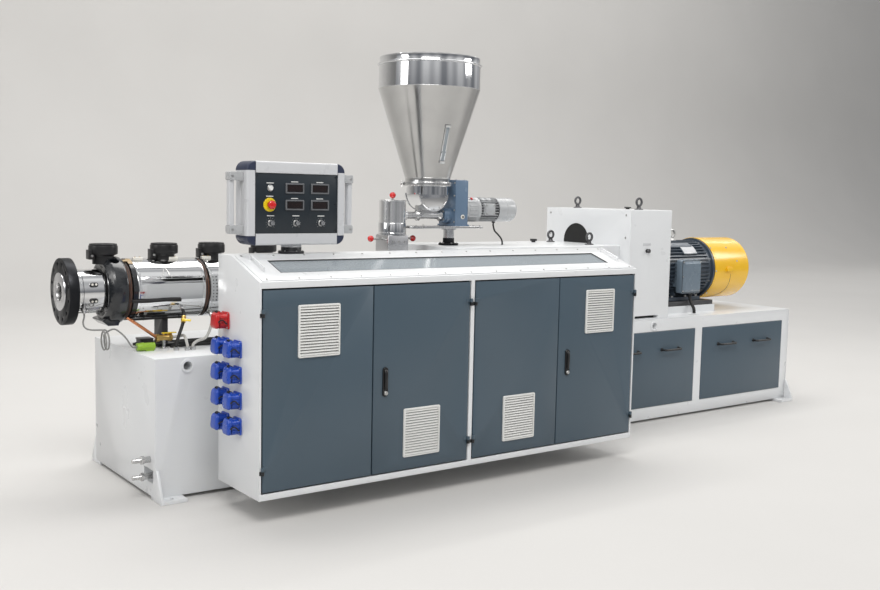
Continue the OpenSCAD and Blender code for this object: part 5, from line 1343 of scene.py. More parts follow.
def addDieEnd(setup):
    x0, x1, r = setup["heater"]
    band = newShape()
    base = (0, setup["y"], setup["z"])
    profile = [(75.6, x0 + 0.3), *at(r, x0, (-2, 0.3), (0, 2), (0, 26), (-1.6, 28), (-1.6, 33), (0, 35)),
        (r, x1 - 12), (r - 1.5, x1 - 10), (r - 1.5, x1), (75.6, x1)]
    addTurned(band, profile, base, 96, (1, 0, 0), closedLoop=True)
    makePiece(band, "frontHeater", "polished_steel", "polished", stands="front_heater", sharp=24)
    clamp = newShape()
    addShellBox(clamp, x0 + 4, x1 - 4, r - 0.5, -54, -50, 12)
    addShellBox(clamp, x0 + 4, x1 - 4, r - 0.5, -61, -57, 12)
    makePiece(clamp, "heaterClamp", "polished_steel", "brushed", bevel=0.8)
    for x in (x0 + 22, x1 - 22):
        rod = newShape()
        addRod(rod, around(x, r + 6, -46), around(x, r + 6, -65), 3.5, 16)
        makePiece(rod, "clampRod", "brushed_steel", "zinc")
    blocks, pins = newShape(), newShape()
    for angle in (19.5, -22):
        spot, out = around(-400, r - 1, angle), outward(angle)
        outline = roundedOutline((-19, -11), (19, 11), 10.5, 7)
        turned = Vector((1, 0, 0))
        up = out.cross(turned)
        rings = [[spot + out * h + turned * (a * s) + up * (b * s) for a, b in outline]
            for h, s in ((0, 1), (7, 1), (9, 0.9))]
        addRings(blocks, rings, capped=True)
        for shift in (-8.5, 8.5):
            addTurned(pins, [(5.5, 0), (5.5, 1.4), (3.2, 1.6), (2.2, 4), (0, 4.2)],
                spot + out * 8.8 + turned * shift, 20, out)
    makePiece(blocks, "heaterPlugs", "black_plastic", "blackPlastic")
    makePiece(pins, "heaterPins", "pale_plastic", "ceramic")
    probe = newShape()
    addTurned(probe, [(8, 0), (8, 46), (5, 47), (5, 60)], (-443, 905, 846), 24)
    addHexagon(probe, (-443, 905, 860), (-443, 905, 870), 22)
    makePiece(probe, "probeHead", "brushed_steel", "brushed", bevel=0.5)


def addCovers(setup):
    # Each cover is rolled sheet, lipped at both ends
    base = (0, setup["y"], setup["z"])
    r = setup["cover"]
    (drum, trim, latch), screws = newShapes(3), []
    for x0, x1 in setup["spans"]:
        addTurned(drum, [(76, x0), *at(r, x0, (-2.5, 0), (-0.4, 1.2), (0, 3), (0, 10), (-1.2, 12), (-1.2, 15),
            (0, 17)), *at(r, x1, (0, -17), (-1.2, -15), (-1.2, -12), (0, -10), (0, -3), (-0.4, -1.2),
            (-2.5, 0)), (76, x1)], base, 128, (1, 0, 0), closedLoop=True)
        # Flanged seam with its screws, and a bent wire that holds the sheet's edge
        addShellBox(trim, x0 + 17.5, x1 - 17.5, r - 0.6, 22.4, 23.6, 5.0)
        addShellBox(trim, x0 + 17.5, x1 - 17.5, r - 0.6, 23.6, 27.0, 1.6)
        addShellBox(trim, x0 + 17.5, x1 - 17.5, r - 0.6, -27, -24.5, 1.4)
        length = x1 - x0
        count = max(3, round(length / 62))
        for k in range(count):
            x = x0 + 30 + k * (length - 60) / (count - 1)
            screws.append((around(x, r + 0.9, 25.6), outward(25.6)))
            screws.append((around(x, r + 0.4, -33), outward(-33)))
        wx = x0 + 0.42 * length
        wire = [around(wx + dx, r + dr, a) for dx, dr, a in ((-16, 2, 28), (-15, 3, 31), (-3, 6, 44),
            (3, 6, 44), (15, 3, 31), (16, 2, 28))]
        addTube(latch, smoothPath(wire, 24), 1.5, 8)
    makePiece(drum, "coverDrums", "polished_steel", "polished", stands="barrel_covers", sharp=20)
    makePiece(trim, "coverSeams", "polished_steel", "polished", bevel=0.5)
    makePiece(latch, "coverWires", "brushed_steel", "zinc")
    addScrews("coverScrews", screws, radius=2.6, height=1.6, washer=1.4)


def addWinding(shape, x, radius, thick, wobble, phase):
    sides, steps, path = 8, 84, []
    for k in range(steps):
        a = 360.0 * k / steps
        swing = sin(radians(a * 3 + phase)) * wobble
        path.append(around(x + 0.6 * swing, radius + 0.4 * wobble * cos(radians(a * 2 + phase * 2)), a))
    rings = []
    for k, point in enumerate(path):
        ahead = (path[(k + 1) % steps] - path[k - 1]).normalized()
        side = ahead.cross(Vector((1, 0, 0))).normalized()
        rings.append(circle(point, side, ahead.cross(side), thick, sides))
    addRings(shape, rings, closedLoop=True)


def addBundles(setup):
    rng = random.Random(7)
    shapes = {"blackLead": newShape(), "brownLead": newShape(), "rubber": newShape()}
    kinds = ("blackLead", "rubber", "blackLead", "brownLead", "blackLead", "rubber", "brownLead", "blackLead",
        "rubber", "brownLead", "blackLead", "rubber")
    for x in setup["bundles"]:
        base = (0, setup["y"], setup["z"])
        core = setup["bundleThick"] - 5.5
        ring = [(setup["bundleRadius"] + core * cos(a), x + core * sin(a))
            for a in [pi * n / 6 for n in range(12)]]
        addTurned(shapes["rubber"], ring, base, 72, (1, 0, 0), closedLoop=True)
        for n, kind in enumerate(kinds):
            a = radians(-90 + 180 * (n + 0.5) / len(kinds))
            thick = rng.uniform(2.6, 3.9)
            reach = setup["bundleThick"] - thick - 1.2
            addWinding(shapes[kind], x + reach * sin(a), setup["bundleRadius"] + reach * cos(a), thick,
                rng.uniform(0.4, 2.0), rng.uniform(0, 360))
    # Leads laid along the first cover, with ties
    ties = newShape()
    for angle, share in ((-17, 0.62), (-64, 0.74)):
        r = setup["cover"] + 6.8
        x0, x1 = setup["bundles"][0], setup["spans"][0][0] + share * 338
        for n, (kind, dr, da) in enumerate((("rubber", 0, 0), ("blackLead", 2.2, 1.6), ("rubber", 2.0, -1.6))):
            path = [around(x0 + 2, r - 20, angle + da), around(x0 + 8, r - 6, angle + da)]
            path += [around(x0 + (x1 - x0) * t, r + dr * 0.6 - 1.5, angle + da + 0.5 * sin(9 * t + n))
                for t in (0.12, 0.3, 0.5, 0.7, 0.9, 1.0)]
            addTube(shapes[kind], smoothPath(path, 36), 4.2, 8)
        for t in (0.3, 0.62, 0.93):
            x = x0 + (x1 - x0) * t
            addTurned(ties, [(6.3, -2), (7.0, -2), (7.0, 2), (6.3, 2)], around(x, r - 0.4, angle), 20,
                (1, 0, 0), closedLoop=True)
    # Leads resting on the base below the first cover
    for n, (y, x0, x1, thick) in enumerate(((874, -40, 330, 7), (958, -112, 340, 9), (982, -118, 352, 8),
            (1006, -96, 346, 9))):
        path = [(x0 + (x1 - x0) * t, y + 9 * sin(5 * t + 1.7 * n), baseTop + thick + 0.3)
            for t in (0, 0.15, 0.3, 0.45, 0.6, 0.75, 0.9, 1)]
        addTube(shapes["rubber"], smoothPath(path, 40), thick, 10)
    makePiece(shapes["rubber"], "bundleCore", "lead_sheath", "rubber", stands="lead_bundles")
    for kind in ("blackLead", "brownLead"):
        makePiece(shapes[kind], kind + "Turns", "lead_sheath", kind)
    makePiece(ties, "leadTies", "black_plastic", "blackPlastic")
    band = newShape()
    x = setup["bundles"][0]
    addShellBox(band, x + 10, x + 32, 149.5, 58, 79, 3, 10)
    addShellBox(band, x - 9, x + 12, 148.5, 66, 73, 5, 4)
    makePiece(band, "bundleBand", "lead_sheath", "tanBand", bevel=0.8)
    # Duct on the base
    duct = newShape()
    addRoundedBox(duct, (-184, 886, baseTop), (-122, 948, baseTop + 46), 4, "z")
    addRoundedBox(duct, (-187, 883, baseTop + 45), (-119, 951, baseTop + 52), 6, "z")
    makePiece(duct, "leadDuct", "black_plastic", "blackPlastic", bevel=1.5)
    glands = newShape()
    for y in (902, 932):
        addTurned(glands, [(9, 0), (9, 10), (7, 12), (7, 20), (5, 21)], (-184, y, baseTop + 22), 20, (-1, 0, 0))
    makePiece(glands, "ductGlands", "black_plastic", "rubber")


def makeGuardTree():
    # A wire guard: rings of growing radius with spokes across them
    tree, given, made = growTree("wireGuard", [("Outer", floatKind, 0.05), ("Inner", floatKind, 0.012),
        ("Rings", intKind, 6), ("Spokes", intKind, 4), ("Wire", floatKind, 0.0009), ("Finish", materialKind,
        None),])
    wire = addNode(tree, "GeometryNodeCurvePrimitiveCircle", {"Resolution": 6, "Radius": given["Wire"]})
    line = addNode(tree, "GeometryNodeMeshLine", {"Count": given["Rings"], "Offset": (0.0, 0.0, 0.0)},
        mode="OFFSET")
    index = addNode(tree, "GeometryNodeInputIndex")
    last = minus(tree, given["Rings"], 1.0)
    share = mathNode(tree, "DIVIDE", index, last)
    gap = minus(tree, given["Outer"], given["Inner"])
    radius = plus(tree, given["Inner"], times(tree, share, gap))
    ring = addNode(tree, "GeometryNodeCurvePrimitiveCircle", {"Resolution": 48, "Radius": 1.0})
    scale = addNode(tree, "ShaderNodeCombineXYZ", {"X": radius, "Y": radius, "Z": 1.0})
    rings = addNode(tree, "GeometryNodeInstanceOnPoints", {"Points": line, "Instance": ring, "Scale": scale})
    flatRings = addNode(tree, "GeometryNodeRealizeInstances", {"Geometry": rings})
    end = addNode(tree, "ShaderNodeCombineXYZ", {"X": given["Outer"]})
    spoke = addNode(tree, "GeometryNodeCurvePrimitiveLine", {"Start": (0.0, 0.0, 0.0), "End": end})
    hub = addNode(tree, "GeometryNodeMeshLine", {"Count": given["Spokes"], "Offset": (0.0, 0.0, 0.0)},
        mode="OFFSET")
    turn = times(tree, mathNode(tree, "DIVIDE", index, given["Spokes"]), 2 * pi)
    facing = addNode(tree, "ShaderNodeCombineXYZ", {"Z": turn})
    spokes = addNode(tree, "GeometryNodeInstanceOnPoints", {"Points": hub, "Instance": spoke,
        "Rotation": facing})
    flatSpokes = addNode(tree, "GeometryNodeRealizeInstances", {"Geometry": spokes})
    both = addNode(tree, "GeometryNodeJoinGeometry")
    feed(tree, both.inputs[0], flatRings)
    feed(tree, both.inputs[0], flatSpokes)
    solid = addNode(tree, "GeometryNodeCurveToMesh", {"Curve": both, "Profile Curve": wire})
    facingOut = addNode(tree, "GeometryNodeInputNamedAttribute", {"Name": "facing"}, data_type="FLOAT_VECTOR")
    aim = addNode(tree, "FunctionNodeAlignRotationToVector", {"Vector": facingOut}, axis="Z")
    spread = addNode(tree, "GeometryNodeInstanceOnPoints", {"Points": given["Geometry"], "Instance": solid,
        "Rotation": aim})
    closeTree(tree, spread, given["Finish"], made)
    return tree


guardTree = makeGuardTree()


def addFans(setup):
    # Round blowers on a waisted neck, with a wire guard on top and a terminal block at the side
    (body, blocks, plugs, blades), spots = newShapes(4), []
    r, low, tall, y = setup["fanRadius"], setup["fanLow"], setup["fanHigh"], setup["y"]
    for x in setup["fans"]:
        addTurned(body, [(50, -38), (50, 1), (53, 4), (60, 6), (r - 1.5, 9), (r, 13), *at(r, tall, (0, -12),
            (-1, -9), (-3.5, -8), (-3.5, -2), (-5, 0), (-9, 0), (-10, -2), (-11, -14)), (14, tall - 16),
            (0, tall - 16)], (x, y, low), 64)
        for a in turns(7):
            edges = ((0, 5), (0.55, 12), (0.55, 13.2), (0, 6.2))
            addRings(blades, [[(x + radius * cos(a + twist + t), y + radius * sin(a + twist + t),
                low + tall - down) for t, down in edges] for radius, twist in ((15, 0.0), (34, 0.18),
                (54, 0.30))], capped=True)
        addTurned(blades, at(0, tall, (15, -15), (15, -5), (13, -3.5), (0, -3)), (x, y, low), 32)
        spots.append(((x, y, low + tall - 1.2), (0, 0, 1)))
        addBox(blocks, (x - r - 6.5, y - 25.5, low - 15.5), (x - r + 20, y + 25.5, low + 29.5))
        addTurned(plugs, [(6, 0), (6, 5), (5, 7)], (x - r + 6, y - 25, low + 2), 16, (0, -1, 0))
    makePiece(body, "fanHousings", "black_metal", "blackPlastic", stands="barrel_fans", sharp=28)
    makePiece(blades, "fanBlades", "black_metal", "blackPlastic", sharp=40)
    makePiece(blocks, "fanBlocks", "black_metal", "blackPlastic", bevel=2.0)
    makePiece(plugs, "fanPlugs", "brushed_steel", "zinc")
    grown(guardTree, "fanGuards", {"Outer": 0.060, "Inner": 0.016, "Rings": 7, "Spokes": 4, "Wire": 0.0011,
        "Finish": finishes["blackPaint"]}, "machine", "black_metal", base=pointMesh("fanGuards", spots))


def addTerminals(setup):
    # White ceramic terminals on the barrel, and the grey lead rail beside the second bundle
    white, pins, rail, holes = newShapes(4)
    y, z, r = setup["y"], setup["z"] + setup["cover"], setup["cover"]
    for x in (-173, 4, 176, 446, 889):
        addRoundedBox(white, (x - 23, y - 52, z - 9), (x + 23, y - 28, z + 7), 4, "x")
        for shift in (-12, 12):
            addTurned(pins, [(4, 0), (4, 2.5), (2, 3)], (x + shift, y - 40, z + 7), 12)
    makePiece(white, "ceramicBlocks", "pale_plastic", "ceramic", bevel=1.2)
    makePiece(pins, "ceramicPins", "brushed_steel", "brass")
    addShellBox(rail, 158, 196, r, -24, 28, 9, 10)
    makePiece(rail, "leadRail", "brushed_steel", "castAlu", bevel=1.2)
    for angle in range(-20, 27, 6):
        addTurned(holes, [(3.4, 0), (3.4, 3), (2.2, 3.2)], around(184, r + 8.6, angle), 12, outward(angle))
        addTurned(holes, [(2.6, 0), (2.6, 2), (1.8, 2.2)], around(167, r + 8.6, angle), 12, outward(angle))
    makePiece(holes, "railPlugs", "black_plastic", "blackPlastic")


def addHoseValve():
    # Small ball valve let into the third hose, with a flat lever
    start, end = Vector((9, 826, 820)), Vector((0, 814, 788))
    body, lever = newShape(), newShape()
    ahead = (end - start).normalized()
    addTurned(body, [(8.4, 0), (11, 1), (11, 8), (9, 9), (12.5, 12), (12.5, 24), (9, 27), (11, 28), (11, 35),
        (8.4, 36)], start, 24, ahead)
    side = Vector((-0.45, -0.89, 0)).normalized()
    addTurned(body, [(5, 0), (5, 19), (3, 20)], start + ahead * 18, 16, side)
    addSlab(lever, start + ahead * 18 + side * 19, (side, ahead, side.cross(ahead)), (0, -6, -8), (3, 6, 40))
    makePiece(body, "hoseValve", "brushed_steel", "brass", sharp=30)
    makePiece(lever, "hoseLever", "yellow_paint", "leverYellow", bevel=0.8)


addDieEnd(barrelSetup)
addCovers(barrelSetup)
addBundles(barrelSetup)
addFans(barrelSetup)
addTerminals(barrelSetup)
addHoseValve()
print("barrel dressed")


# Hopper with its clamp and sight glass, feeder, feed tower and stand

feedSetup = {"x": 1558.0, "y": 993.0, "joint": 1486.0, "outlet": 131.0, "rim": 291.0, "cone": (1520.0, 2022.0),
    "bead": 2157.0,
             "top": 2197.0, "ferrule": 137.0, "sight": (1612.0, 1808.0), "sightTurn": -97.0, "clampTurn": 150.0,
             "trough": (1554.0, 1434.0, 100.0, 66.0), "screwZ": 1306.0, "tube": (1408.0, 1660.0),
                 "tower": (1318.0, 1194.0, 1391.0, 76.0),
             "blockSide": 69.0, "blockLow": 1062.0, "column": (1718.0, 1132.0, 1232.0), "plate": (1406.0,
                 1906.0, 1246.0),
             "gearcase": (1704.0, 1794.0, 82.0, 1246.0, 1514.0), "nose": (1660.0, 1704.0), "motor": (1794.0,
                 1343.0, 396.0, 75.0)}


def addTorus(shape, base, axis, radius, thick, steps=48, sides=12):
    ring = [(radius + thick * cos(a), thick * sin(a)) for a in turns(sides)]
    addTurned(shape, ring, base, steps, axis, closedLoop=True)


def addHopper(setup):
    x, y = setup["x"], setup["y"]
    base = (x, y, 0)
    o, r = setup["outlet"], setup["rim"]
    (z0, z1), bead, top, joint = setup["cone"], setup["bead"], setup["top"], setup["joint"]
    cone, band, welds = newShapes(3)
    addTurned(cone, [(o, joint + 0.2), *at(setup["ferrule"], joint, (0, 0.2), (0, 4.5)), (o + 1, joint + 9),
        (o, joint + 12), (o, z0), (r, z1), (r - 2.5, z1), (o - 2.5, z0 + 1), (o - 2.5, joint + 0.2)], base, 160,
        closedLoop=True)
    addTurned(band, [(r, z1 + 0.1), *at(r, bead, (0, -8), (-2, 4), (-4, 8)), *at(r, top, (-4, -5), (-3, -2),
        (-4, 0), (-6, -1)), *at(r, bead, (-6.5, 8), (-4.5, 4), (-2.5, -8)), (r - 2.5, z1 + 0.1)], base, 160,
        closedLoop=True)
    addTorus(band, (x, y, bead), (0, 0, 1), r + 2.6, 5.4, 160, 14)
    for level, radius in ((z1, r), (z0, o)):
        addTorus(welds, (x, y, level), (0, 0, 1), radius - 0.2, 1.5, 160, 8)
    lean = atan2(r - o, z1 - z0)
    back = Vector((cos(radians(60)), sin(radians(60)), 0))
    addRod(welds, Vector((x, y, z0)) + back * o, Vector((x, y, z1)) + back * r, 1.4, 8)
    addRod(welds, Vector((x, y, z1)) + back * r, Vector((x, y, bead - 6)) + back * r, 1.4, 8)
    makePiece(cone, "hopperCone", "polished_steel", "hopperSteel", stands="hopper", sharp=24)
    makePiece(band, "hopperBand", "polished_steel", "hopperBand", sharp=40)
    makePiece(welds, "hopperWelds", "polished_steel", "brushed")
    # Sight glass on the cone's slope: strip, side rails, end blocks and their screws
    turn = radians(setup["sightTurn"])
    radial = Vector((cos(turn), sin(turn), 0))
    up = Vector((0, 0, 1))
    out = radial * cos(lean) - up * sin(lean)
    along = radial * sin(lean) + up * cos(lean)
    side = along.cross(out)
    middle = sum(setup["sight"]) / 2
    spot = Vector((x, y, middle)) + radial * (o + (middle - z0) * tan(lean))
    frame = (out, side, along)
    (glass, rails, ends), spots = newShapes(3), []
    addSlab(glass, spot, frame, (1.0, -9, -96), (6.5, 9, 96))
    for s in (-1, 1):
        addSlab(rails, spot, frame, (0.4, 9 * s, -100), (6, 15 * s, 100))
        addSlab(ends, spot, frame, (0.3, -16.5, 96 * s), (11, 16.5, 111 * s))
        for t in (-66, 0, 66):
            spots.append((spot + out * 6 + side * (12 * s) + along * t, out))
        for t in (-11, 11):
            spots.append((spot + out * 11 + side * t + along * (103.5 * s), out))
    makePiece(glass, "sightPane", "window_glass", "glass", bevel=0.8, stands="sight_glass")
    makePiece(rails, "sightRails", "brushed_steel", "hopperBand", bevel=0.8)
    makePiece(ends, "sightEnds", "brushed_steel", "polished", bevel=1.5)
    addScrews("sightScrews", spots, radius=2.2, height=1.8, washer=1.2, recess=0.45)
    # Clamp ring with its screw and wing nut
    ring, bolt = newShape(), newShape()
    f = setup["ferrule"]
    addTurned(ring, at(f, joint, (0.5, -11.5), (4, -11.5), (5, -9), (5, 9), (4, 11.5), (0.5, 11.5)), base, 96,
        closedLoop=True)
    turn = radians(setup["clampTurn"])
    radial = Vector((cos(turn), sin(turn), 0))
    across = up.cross(radial)
    hold = Vector((x, y, joint)) + radial * (f + 4)
    frame = (radial, across, up)
    for s in (-1, 1):
        addSlab(ring, hold, frame, (0, 3 * s, -11), (16, 10 * s, 11))
    addRod(bolt, hold + radial * 9 - across * 15, hold + radial * 9 + across * 36, 4, 20, 0.8)
    addTurned(bolt, [(6, 0), (8, 1), (8, 9), (6, 10)], hold + radial * 9 + across * 10.5, 24, across)
    for s in (-1, 1):
        wing = [hold + radial * 9 + across * 20 + up * (t * s) + across * b for t, b in ((4, -3), (20, 0),
            (22, 5), (16, 7), (4, 4))]
        addRings(bolt, [[p + radial * d for p in wing] for d in (-2, 2)], capped=True)
    makePiece(ring, "clampRing", "brushed_steel", "brushed", bevel=0.7, stands="hopper_clamp", sharp=24)
    makePiece(bolt, "clampBolt", "brushed_steel", "zinc", bevel=0.4)


def addFeeder(setup):
    x, z, r, half = setup["trough"]
    y, f, joint, o = setup["y"], setup["ferrule"], setup["joint"], setup["outlet"]
    neck = newShape()
    addTurned(neck, [(0, z - 8), (o - 9, z - 8), (o - 9, joint - 14), (o, joint - 10), (f, joint - 5),
        (f, joint - 0.5), (0, joint - 0.5)], (setup["x"], y, 0), 96)
    bowl = [(x + (r - 1) * cos(a), z + (r - 1) * sin(a)) for a in [radians(180 + 180 * k / 40)
        for k in range(41)]]
    addPrism(neck, bowl, y - half + 1, y + half - 1)
    rims, bolts, spots = newShape(), newShape(), []
    for s in (-1, 1):
        outer = [(x + (r + 3.6) * cos(a), z - 0.3 + (r + 3.3) * sin(a)) for a in [radians(180 + 180 * k / 48)
            for k in range(49)]]
        ends = sorted((y + s * half, y + s * (half + 6.5)))
        addPrism(rims, outer, ends[0], ends[1])
        # Rolled lip round the end plate
        path = [(x + (r - 3) * cos(a), y + s * (half + 5.2), z - 6 + (r - 8) * sin(a))
            for a in [radians(180 + 180 * k / 40) for k in range(41)]]
        addTube(rims, path, 2.6, 10)
        for k in range(7):
            a = radians(192 + 26 * k)
            spots.append(((x + (r - 13) * cos(a), y + s * (half + 6.5), z - 4 + (r - 13) * sin(a)), (0, s, 0)))
    makePiece(neck, "feederTrough", "brushed_steel", "polished", stands="feeder_trough", sharp=24)
    makePiece(rims, "troughPlates", "brushed_steel", "hopperBand", bevel=0.8, sharp=24)
    addScrews("troughScrews", spots, radius=3.4, height=1.6, washer=1.3)
    x0, x1 = setup["tube"]
    low = setup["screwZ"]
    tube = newShape()
    addRod(tube, (x0, y, low), (x1, y, low), 20.8, 48)
    for foot, way in ((x - 72, 1), (x - 56, -1), (setup["nose"][0] - 22, 1), (setup["nose"][0] - 6, -1)):
        addTurned(tube, [(20.8, -9), (30, 2), (31.6, 4), (31.6, 7.6), (20.8, 7.6)], (foot, y, low), 48,
            (way, 0, 0))
    addBox(tube, (x - 69, y - 15.5, low + 4), (x + 69, y + 15.5, z - 61))
    makePiece(tube, "feedTube", "brushed_steel", "brushed", sharp=24)
    # Toggle bolt on the trough's flank
    addRod(bolts, (x - 78, y - half + 6, low + 62), (x - 78, y - half + 6, low + 100), 3, 16)
    addTurned(bolts, [(5, 0), (7, 1), (7, 11), (5, 12)], (x - 78, y - half + 6, low + 98), 24)
    makePiece(bolts, "troughBolt", "brushed_steel", "zinc")
    # Gearcase: cast box with a bolted front cover, oil plugs and a stepped round nose
    x0, x1, deep, z0, z1 = setup["gearcase"]
    case, nose, spots = newShape(), newShape(), []
    addBox(case, (x0, y - deep, z0 + 6), (x1, y + deep, z1 - 3))
    addBox(case, (x0 - 5.5, y - deep - 5.5, z0 + 0.2), (x1 + 7.5, y + deep + 5.5, z0 + 9.8))
    addBox(case, (x0 + 4, y - deep + 4, z1 - 4), (x1 - 4, y + deep - 4, z1 - 0.2))
    makePiece(case, "gearcaseBody", "blue_paint", "gearcaseBlue", bevel=3.0, segments=3,
        stands="feeder_gearcase")
    n0, n1 = setup["nose"]
    addTurned(nose, [*at(0, n0, (21, 0.2), (40, 0.2), (44, 3), (44, 20), (47.8, 24)), (47.8, n1 - 2),
        (47.8, n1 + 1), (21, n1 + 1)], (0, y, low), 64, (1, 0, 0), closedLoop=True)
    makePiece(nose, "gearcaseNose", "blue_paint", "gearcaseBlue", sharp=28)
    for yy in (y - deep + 14, y + deep - 14):
        for zz in (z0 + 24, z0 + 92, z1 - 92, z1 - 18):
            spots.append(((x0, yy, zz), (-1, 0, 0)))
    for a in (45, 135, 225, 315):
        spots.append(((n0 + 0.2, y + 33 * cos(radians(a)), low + 33 * sin(radians(a))), (-1, 0, 0)))
    spots += [((xx, yy, z1 - 0.2), (0, 0, 1)) for xx in (x0 + 14, x1 - 14)
        for yy in (y - deep + 20, y + deep - 20)]
    addScrews("gearcaseScrews", spots, radius=4.4, height=3.0, washer=1.4)
    plug, eye = newShape(), newShape()
    addTurned(plug, [(13, 0), (13, 2.5), (9.5, 3.5), (9.5, 5.5), (7.5, 6), (7.5, 3.2), (0, 3.2)],
        (x1 - 38, y - deep, 1300), 32, (0, -1, 0))
    addTurned(eye, [(7.2, 3.3), (0, 3.6)], (x1 - 38, y - deep, 1300), 24, (0, -1, 0))
    makePiece(plug, "oilGlassRing", "brushed_steel", "ceramic")
    makePiece(eye, "oilGlass", "black_plastic", "meterGlass")


def addTower(setup):
    x, z0, z1, r = setup["tower"]
    y = setup["y"]
    (tower, block, rim), spots = newShapes(3), []
    addTurned(tower, [(0, z0 + 69), (r, z0 + 69), *at(r, z1, (0, -6.5), (1, -5), (2.8, -4), (2.8, -1),
        (1.8, -0.2), (-4, -0.2), (-5, -2)), (0, z1 - 2)], (x, y, 0), 96)
    addTurned(rim, [(0, z0 + 0.2), *at(r, z0, (1.4, 0.2), (2.8, 1.6), (2.8, 12), (1.8, 14), (2.8, 16),
        (2.8, 66), (1.6, 69), (0, 71)), (0, z0 + 71)], (x, y, 0), 96)
    addRod(tower, (x, y, setup["screwZ"]), (setup["tube"][0] - 0.2, y, setup["screwZ"]), 28.8, 48, 1.5)
    s = setup["blockSide"]
    addRoundedBox(block, (x - s + 0.2, y - s + 0.2, setup["blockLow"] + 0.3), (x + s - 0.2, y + s - 0.2,
        z0 - 0.2), 9, "z")
    for sx in (-1, 1):
        for sy in (-1, 1):
            spots.append(((x + sx * (s - 12), y + sy * (s - 12), z0 - 0.2), (0, 0, 1)))
    spots += boltCircle(x, y, z1 - 2, r - 14, 8, 22.5)
    for t in (-40, 0, 40):
        spots.append(((x + t, y - s + 0.2, z0 - 36), (0, -1, 0)))
    makePiece(tower, "towerTube", "brushed_steel", "towerSteel", stands="feed_tower", sharp=26)
    makePiece(rim, "towerRing", "brushed_steel", "hopperBand", sharp=26)
    makePiece(block, "towerBlock", "brushed_steel", "turned", bevel=1.2)
    addScrews("towerScrews", spots, radius=4.0, height=3.2, washer=1.35, recess=0.55)
    balls, stems = newShape(), newShape()
    for spot, axis, stem in (((x, y, z1), (0, 0, 1), 12), ((x - s, y, z0 - 20), (-1, 0, 0), 59),
            ((x + s, y, z0 - 20), (1, 0, 0), 59)):
        addTurned(stems, [(9, 0), (9, 4), (5.8, 5), (5.8, stem + 1), (0, stem + 1)], spot, 24, axis)
        addTurned(balls, [(7, stem - 2), (8.5, stem - 0.5)] + [(17.9 * sin(a), stem + 15 - 17.9 * cos(a))
            for a in [radians(32 + 148 * k / 20) for k in range(20)]] + [(0, stem + 32.9)], spot, 40, axis)
    makePiece(balls, "knobBalls", "red_plastic", "ballRed", stands="tower_knobs")
    makePiece(stems, "knobStems", "brushed_steel", "zinc")
    # Stand: plate, column in a dark boot and its foot
    p0, p1, top = setup["plate"]
    cx, f0, f1 = setup["column"]
    (plate, column, foot), spots = newShapes(3), []
    addBox(plate, (p0 + 0.2, y - 89.8, top - 13.8), (p1 - 0.2, y + 89.8, top - 0.1))
    for px in (p0 + 26, p0 + 180, p1 - 60, p1 - 16):
        for sy in (-74, 74):
            spots.append(((px, y + sy, top - 0.1), (0, 0, 1)))
    addTurned(column, [(31.8, f0 + 40), (31.8, f1)], (cx, y, 0), 64)
    addTurned(column, [(31.8, f1 - 10), (44, f1 - 9), (44, f1), (31.8, f1)], (cx, y, 0), 64, closedLoop=True)
    addTurned(foot, at(0, f0, (0, 0.2), (57, 0.2), (58.8, 2), (58.8, 10), (57, 11.8), (40, 12), (33.6, 17),
        (33.4, 41), (31.8, 43), (0, 43)), (cx, y, 0), 64)
    spots += boltCircle(cx, y, f0 + 11.8, 49, 6, 15)
    makePiece(plate, "standPlate", "brushed_steel", "brushed", bevel=1.2, stands="feeder_stand")
    makePiece(column, "standColumn", "brushed_steel", "turned", sharp=24)
    makePiece(foot, "standFoot", "black_metal", "blackOxide", sharp=24)
    addScrews("standScrews", spots, radius=5.0, height=4.5, washer=1.3)


addHopper(feedSetup)
addFeeder(feedSetup)
addTower(feedSetup)
print("hopper and feeder dressed")


# Drive: cover with its port and knob, ribbed motor, terminal box, cowl, eye bolts

driveSetup = {"cover": (2845.0, 3225.0, 605.0, 1381.0, 660.0, 1357.0), "port": (1091.0, 1142.0, 116.0),
    "y": 993.0, "z": 942.0,
              "motor": (3225.0, 3895.0), "core": 184.0, "rib": 18.0, "ribs": 48, "rails": 145.4, "plateTop": 736.0,
              "box": (3499.7, 3695.7, 794.0, 1022.0), "gland": (3617.7, 759.0, 778.0), "cowl": (3895.3, 4282.3,
                  218.0),
              "lug": (4010.0, 4072.0, 757.0, 776.0, 928.0, 956.0),
              "eyes": ((3028.0, 712.0, 1357.0, 62.0), (3028.0, 1274.0, 1357.0, 62.0), (2695.0, 813.0, 1132.0, 62.0),
                       (2695.0, 1173.0, 1132.0, 62.0)), "motorEye": (3677.9, 993.0, 1140.0, 64.0)}


